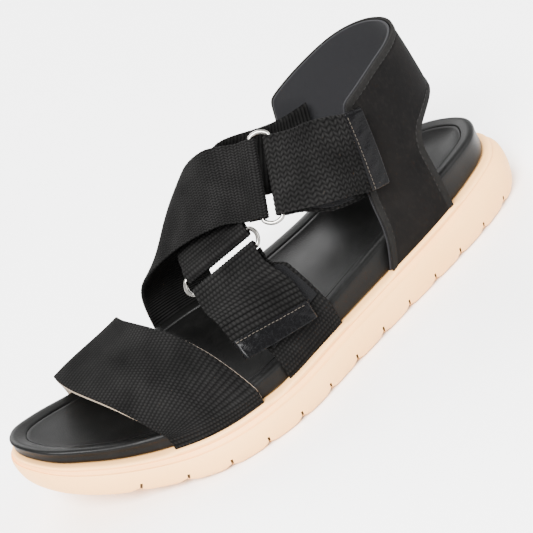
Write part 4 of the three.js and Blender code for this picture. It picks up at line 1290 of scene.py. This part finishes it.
def sling_seam(places, outward, distance, chain, settings, thread):
    """Stitches one band in from the edge, where the sling stands clear of the sole."""
    rim = places[chain]
    off_band = np.abs(distance - settings.band) * 2
    picked = [int(np.argmin(off_band + np.linalg.norm(places - point, axis=1))) for point in rim]
    inner, ups = places[picked], outward[picked]
    clear = inner[:, 2] > SEAM_FLOOR
    start = int(np.argmin(clear))
    order = np.roll(np.arange(len(inner)), -start)
    inner, ups, clear = inner[order], ups[order], clear[order]
    line = smooth_line((inner + ups * NUBUCK / 2 * MM)[clear], 6)
    return seam("sling_stitches", line / MM - SHIFT, ups[clear], settings.stitch / MM, 0.26,
                thread)


def smooth_line(line, rounds):
    for _ in range(rounds):
        line = np.concatenate([line[:1], (line[:-2] + 2 * line[1:-1] + line[2:]) / 4, line[-1:]])
    return line


# ------------------------------------------------------------------ webbing pieces

END_ROOM = 0.5             # room past the end of a tucked strap
TUCKED_ROWS = 11           # coarse rows in a tucked end, which easing leaves alone
RING_ROWS = 7              # and at a ring
TOE_EASING, CROSS_EASING = 40, 30
TOE_RELIEF = 0.8
# Pitches of a weave, along the strap and across it.
TOE_PITCH = (1.9, 1.35)
STRAP_PITCH = (2.1, 1.5)
WEAVES = {"upper": {"strap": (weave_chevrons, (1.45, 1.3)), "flap": (weave_chevrons, (1.5, 2.3))},
          "lower": {"strap": (weave_dots, STRAP_PITCH), "flap": (weave_dots, (2.35, 1.75))}}
LOOP_SPAN = (0.42, 0.78)   # shares of an anchor strap that the loop patch covers
PATCH_MARGIN = 4.0         # how much narrower a patch is than its strap


def build_toe_strap(settings):
    yarn = webbing_material(settings, "Toe webbing")
    run = StrapRun(TOE_PATH, TOE_STRAP_WIDTH, GAP, tucked=("start", "end"))
    low = LINING + GAP
    start, end = END_ROOM, run.length - END_ROOM

    def eased(*layer):
        return relaxed(run.layer(start, end, *layer), TUCKED_ROWS, TUCKED_ROWS, TOE_EASING)
    strap = strip("toe_strap_webbing", eased(low, low + WEBBING), yarn, weave_dots, TOE_PITCH,
                  settings.relief / MM * TOE_RELIEF, selvedge=0.06)
    lining = strip("toe_strap_inside", eased(0, LINING, TOE_STRAP_WIDTH + 0.5),
                   lining_material(), thickness=LINING + 0.2, round_edge=0.5, step=1.2)
    return strap, lining


def joined(*parts):
    """Rows of the inner and outer face, from parts that each have both."""
    return tuple(np.concatenate(rows) for rows in zip(*parts))


def folded(bar, start, end):
    """Both faces of the webbing where it goes round a ring's bar."""
    return tuple(fold_rows(bar, radius, start, end, STRAP_WIDTH) for radius in (FOLD_IN, FOLD_OUT))


def held_faces(run, bar, start):
    """The strap that holds a ring: up to the bar, round it and sewn back."""
    pinned = TUCKED_ROWS if start else 1
    up_to = relaxed(run.layer(start, run.length, 0, WEBBING), pinned, RING_ROWS, CROSS_EASING)
    fold = tuple(rows[1:] for rows in folded(bar, 90, 270))
    away = np.linspace(0, RETURN, 4)[1:]
    back = tuple(bar_rows(bar, away, np.full(3, -level), STRAP_WIDTH)
                 for level in (FOLD_IN, FOLD_OUT))
    return joined(up_to, fold, back)


def flap_faces(run, bar):
    """The flap: round the ring's outer bar, then down to its cap."""
    fold = tuple(rows[:-1] for rows in folded(bar, 270, 90))
    return joined(fold, run.layer(0, run.length - TIP_WALL - GAP, 0, WEBBING))


def build_cross_strap(where, settings, fleece, hooks, yarns, cap, glue):
    parts = cross_strap(where)
    bars, held, anchor, flap = (parts[k] for k in ("bars", "held", "anchor", "flap"))
    relief = settings.relief / MM
    start = {piece: END_ROOM if CROSS_STRAPS[where]["tucked"] == piece else 0.0
             for piece in ("held", "anchor")}
    strap_weave, strap_pitch = WEAVES[where]["strap"]
    made = {"strap": strip(
        f"{where}_strap_webbing", held_faces(held, bars["near"], start["held"]),
        yarns["chevron" if where == "upper" else "dots"], strap_weave, strap_pitch, relief,
        selvedge=0.08, samples=5 if where == "upper" else 4)}
    made["anchor"] = strip(
        f"{where}_anchor_webbing",
        anchor.layer(start["anchor"], anchor.length, 0, WEBBING), yarns["dots"],
        weave_dots, STRAP_PITCH, relief, selvedge=0.08)
    flap_weave, flap_pitch = WEAVES[where]["flap"]
    made["flap"] = strip(
        f"{where}_flap_webbing", flap_faces(flap, bars["far"]), yarns["dots"],
        flap_weave, flap_pitch, relief, selvedge=0.06, samples=5)
    patch_width = STRAP_WIDTH - PATCH_MARGIN
    made["loop"] = strip(
        f"{where}_anchor_fleece",
        anchor.layer(*(anchor.length * share for share in LOOP_SPAN), LOOP_LOW,
                     LOOP_LOW + PATCH, patch_width),
        fleece, fleece_tufts, (1.1, 1.1), 0.22, thickness=PATCH, round_edge=0.3)
    made["hook"] = strip(
        f"{where}_flap_hooks",
        flap.layer(flap.length * 0.12, flap.length - TIP_LENGTH - 3, -GAP - PATCH, -GAP,
                   patch_width),
        hooks, hook_rows, (1.5, 1.5), 0.2, thickness=PATCH, round_edge=0.3)
    made["tip"] = build_tip(where, flap, cap)
    made["glue"] = tip_border(where, flap, glue)
    settle_cross_strap(where, made)
    return made


def fleece_tufts(u, v, pitch):
    return np.abs(np.sin(math.pi * u / pitch[0] + np.sin(v * 2.3)) *
                  np.sin(math.pi * v / pitch[1] + np.sin(u * 1.7)))


def hook_rows(u, v, pitch):
    bump = np.cos(2 * math.pi * u / pitch[0]) * np.cos(2 * math.pi * v / pitch[1])
    return smoothstep(bump, 0.1, 0.9)


def tip_creases(u, v, length, half):
    """Pressed border, a slight hollow and a few creases across the cap."""
    border = 0.22 * np.exp(-((u - 1.1) / 0.35) ** 2)
    hollow = 0.28 * np.exp(-((v - 0.45 * half) / 7) ** 2) * np.exp(-((u - 5) / 2.4) ** 2)
    folds = 0.10 * np.sin(v * 0.9 + 1.8 * np.sin(u * 0.55)) * np.sin(math.pi * u / length)
    return -border - hollow + folds


def build_tip(where, flap, cap):
    total = 2 * (TIP_WALL + GAP) + WEBBING
    return strip(
        f"{where}_flap_cap",
        flap.layer(flap.length - TIP_LENGTH, flap.length, -GAP - TIP_WALL,
                   WEBBING + GAP + TIP_WALL, STRAP_WIDTH + 0.4),
        cap, thickness=total - 0.7, round_edge=1.5, step=0.4, crease=tip_creases)


def tip_border(where, flap, glue):
    """The raised thread along the cap's inner border."""
    reach = flap.length - TIP_LENGTH + 1.2
    low, high = flap.layer(reach, reach + 1.3, WEBBING, WEBBING + GAP + TIP_WALL, STRAP_WIDTH - 1)
    line, up = high[0] - unit(high[0] - low[0]) * 0.30, unit(high[0] - low[0])
    return seam(f"{where}_flap_cap_thread", line, up, 1.9, 0.2, glue)


def settle(piece, body, node=None):
    """Ride a piece on its body, and hide the node that it stands for."""
    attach(piece, body)
    if node:
        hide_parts(node)


def settle_cross_strap(where, made):
    flap = f"{where}_flap"
    settle(made["strap"], "sandal", f"{where}_strap")
    settle(made["anchor"], "sandal", f"{where}_anchor")
    settle(made["loop"], "sandal", f"{where}_anchor_loop")
    settle(made["flap"], flap, flap)
    settle(made["hook"], flap, f"{flap}_hook")
    settle(made["tip"], flap, f"{flap}_tip")
    settle(made["glue"], flap)


RING_POLISHED = 1.9        # the wire after polishing, a little under its drawn size
RING_ROOM = 0.6            # longer than the strap is wide
RING_BOW = 2.4             # how far the rounded ends stand out
RING_WAIST = 0.2           # share by which the bars draw together at the ends


def build_ring(where, settings):
    plan = CROSS_STRAPS[where]
    bars = ring_frame(StrapRun(plan["held"], STRAP_WIDTH, plan["held_height"]),
                      plan["ring_height"])
    near, far = bars["near"], bars["far"]
    half = (STRAP_WIDTH + RING_ROOM) / 2
    middle = (near["centre"] + far["centre"]) / 2
    angle = np.linspace(0, math.pi, 25)
    path = []
    for end in (1, -1):
        path.append(middle + near["side"] * (end * (half + RING_BOW * np.sin(angle)))[:, None]
                    + near["heading"] * (end * RING_BAR_SPACING / 2 * np.cos(angle)
                                         * (1 - RING_WAIST * np.sin(angle) ** 2))[:, None])
    wire = tube(f"{where}_ring_wire", np.concatenate(path), RING_POLISHED / 2, near["normal"],
                nickel_material(settings))
    settle(wire, f"{where}_ring", f"{where}_ring")
    return wire


# ------------------------------------------------------------------ operators

class SANDAL_OT_sole(bpy.types.Operator):
    """Build the moulded sole with its lip and tread grooves"""
    bl_idname = "sandal.sole"
    bl_label = "Sole"

    def execute(self, context):
        settle(build_sole(context.scene.sandal_sole), "sandal", "sole_unit")
        return {"FINISHED"}


class SANDAL_OT_footbed(bpy.types.Operator):
    """Build the footbed and its sock, and finish the board under them"""
    bl_idname = "sandal.footbed"
    bl_label = "Footbed"

    def execute(self, context):
        footbed, sock = build_footbed(context.scene.sandal_footbed)
        settle(footbed, "sandal", "footbed")
        settle(sock, "sandal", "footbed_sock")
        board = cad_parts["insole_board"]
        board.data.materials.clear()
        board.data.materials.append(board_material())
        return {"FINISHED"}


class SANDAL_OT_toe_strap(bpy.types.Operator):
    """Build the toe strap's webbing and its lining"""
    bl_idname = "sandal.toe_strap"
    bl_label = "Toe strap"

    def execute(self, context):
        strap, lining = build_toe_strap(context.scene.sandal_webbing)
        settle(strap, "sandal", "toe_strap")
        settle(lining, "sandal", "toe_strap_lining")
        return {"FINISHED"}


class SANDAL_OT_cross_straps(bpy.types.Operator):
    """Build both cross straps with their flaps, patches and caps"""
    bl_idname = "sandal.cross_straps"
    bl_label = "Cross straps"

    def execute(self, context):
        settings = context.scene.sandal_webbing
        yarns = {"chevron": webbing_material(settings, "Twill webbing"),
                 "dots": webbing_material(settings, "Rib webbing")}
        fleece = fleece_material("Loop fleece", (0.0018, 0.0018, 0.002))
        hooks = fleece_material("Hook tape", (0.0016, 0.0016, 0.0018), short=True)
        cap = patent_material()
        glue = thread_material("Cap thread", (0.042, 0.036, 0.029))
        for where in CROSS_STRAPS:
            build_cross_strap(where, settings, fleece, hooks, yarns, cap, glue)
        return {"FINISHED"}


class SANDAL_OT_rings(bpy.types.Operator):
    """Build both rings"""
    bl_idname = "sandal.rings"
    bl_label = "Rings"

    def execute(self, context):
        for where in CROSS_STRAPS:
            build_ring(where, context.scene.sandal_ring)
        return {"FINISHED"}


class SANDAL_OT_sling(bpy.types.Operator):
    """Build the heel sling: nubuck, lining and stitches"""
    bl_idname = "sandal.sling"
    bl_label = "Heel sling"

    def execute(self, context):
        shell, inner, stitches = build_sling(context.scene.sandal_sling)
        settle(shell, "sandal", "sling_shell")
        settle(inner, "sandal", "sling_lining")
        settle(stitches, "sandal")
        return {"FINISHED"}


AZIMUTH, ELEVATION, ROLL = -16.52, 28.76, -30.36
DISTANCE = 672.85 * MM
AIM = np.array([5.03, 0.0, 37.96])
FILM_WIDTH = 36            # of the camera, in millimetres
FLOOR_SIZE = 60
FLOOR_DROP = 0.2 * MM      # of the floor under the tread
SKY_STRENGTH = 1.7
LIGHT_TARGET = Vector((0, 0, 0.04))
# Each light's place, size and power in watts.
LIGHTS = {"key_light": ((-0.75, -0.9, 1.35), 0.9, 125),
          "fill_light": ((1.1, -0.5, 0.9), 1.2, 24),
          "back_light": ((0.1, 1.2, 1.1), 1.2, 45)}


def camera_axes():
    """Back, right and up of the camera, from its azimuth, elevation and roll."""
    a, e, r = (math.radians(v) for v in (AZIMUTH, ELEVATION, ROLL))
    back = np.array([math.sin(a) * math.cos(e), -math.cos(a) * math.cos(e), math.sin(e)])
    right = np.array([math.cos(a), math.sin(a), 0])
    up = np.cross(back, right)
    return (back, right * math.cos(r) + up * math.sin(r), -right * math.sin(r) + up * math.cos(r))


def build_floor(settings):
    bpy.ops.object.select_all(action="DESELECT")
    bpy.ops.mesh.primitive_plane_add(size=FLOOR_SIZE, location=(0, 0, -FLOOR_DROP))
    floor = bpy.context.active_object
    floor.name = "floor"
    paint = Shader("Pale floor", settings.floor_color, 0.9)
    mottle = paint.noise(paint.place(), 3.0)
    shade = tuple(settings.floor_color)
    paint.color(paint.blend(mottle, shade, tuple(0.985 * c for c in shade)))
    floor.data.materials.append(paint.material)
    return floor


def add_lights(scene):
    world = bpy.data.worlds.new("Studio")
    world.use_nodes = True
    sky = world.node_tree.nodes["Background"]
    sky.inputs["Color"].default_value = (1, 1, 1, 1)
    sky.inputs["Strength"].default_value = SKY_STRENGTH
    scene.world = world
    for name, (spot, size, power) in LIGHTS.items():
        data = bpy.data.lights.new(name, "AREA")
        data.shape, data.size, data.energy = "DISK", size, power
        light = bpy.data.objects.new(name, data)
        scene.collection.objects.link(light)
        light.location = spot
        light.rotation_euler = (LIGHT_TARGET - light.location).to_track_quat("-Z", "Y").to_euler()


def add_camera(scene, lens):
    back, right, up = camera_axes()
    data = bpy.data.cameras.new("camera")
    data.sensor_width, data.lens = FILM_WIDTH, lens
    data.clip_start, data.clip_end = 0.01, 100
    camera = bpy.data.objects.new("camera", data)
    scene.collection.objects.link(camera)
    basis = Matrix((right, up, back)).transposed().to_4x4()
    camera.matrix_world = Matrix.Translation(place(AIM) + back * DISTANCE) @ basis
    scene.camera = camera


class SANDAL_OT_stage(bpy.types.Operator):
    """Build the floor, the lights and the camera"""
    bl_idname = "sandal.stage"
    bl_label = "Stage"

    def execute(self, context):
        settings = context.scene.sandal_stage
        build_floor(settings)
        add_lights(context.scene)
        add_camera(context.scene, settings.lens)
        return {"FINISHED"}


BUILD_ORDER = ("stage", "sole", "footbed", "toe_strap", "cross_straps", "rings", "sling")


class SANDAL_PT_panel(bpy.types.Panel):
    """Sizes, colours and build buttons of the sandal"""
    bl_idname = "SANDAL_PT_panel"
    bl_label = "Sandal"
    bl_space_type = "VIEW_3D"
    bl_region_type = "UI"
    bl_category = "Sandal"

    def draw(self, context):
        for name, group in SETTINGS.items():
            settings = getattr(context.scene, f"sandal_{name}")
            for field in group.__annotations__:
                self.layout.prop(settings, field)
        for step in BUILD_ORDER:
            self.layout.operator(f"sandal.{step}")


SETTINGS = {
    "sole": SandalSoleSettings, "webbing": SandalWebbingSettings, "sling": SandalSlingSettings,
    "footbed": SandalFootbedSettings, "ring": SandalRingSettings, "stage": SandalStageSettings,
}
CLASSES = (*SETTINGS.values(), SANDAL_OT_stage, SANDAL_OT_sole, SANDAL_OT_footbed,
           SANDAL_OT_toe_strap, SANDAL_OT_cross_straps, SANDAL_OT_rings, SANDAL_OT_sling,
           SANDAL_PT_panel)


def register():
    for cls in CLASSES:
        bpy.utils.register_class(cls)
    for name, group in SETTINGS.items():
        setattr(bpy.types.Scene, f"sandal_{name}", PointerProperty(type=group))


def unregister():
    for name in SETTINGS:
        delattr(bpy.types.Scene, f"sandal_{name}")
    for cls in reversed(CLASSES):
        bpy.utils.unregister_class(cls)


def main():
    register()
    for step in BUILD_ORDER:
        getattr(bpy.ops.sandal, step)()


if __name__ == "__main__":
    main()
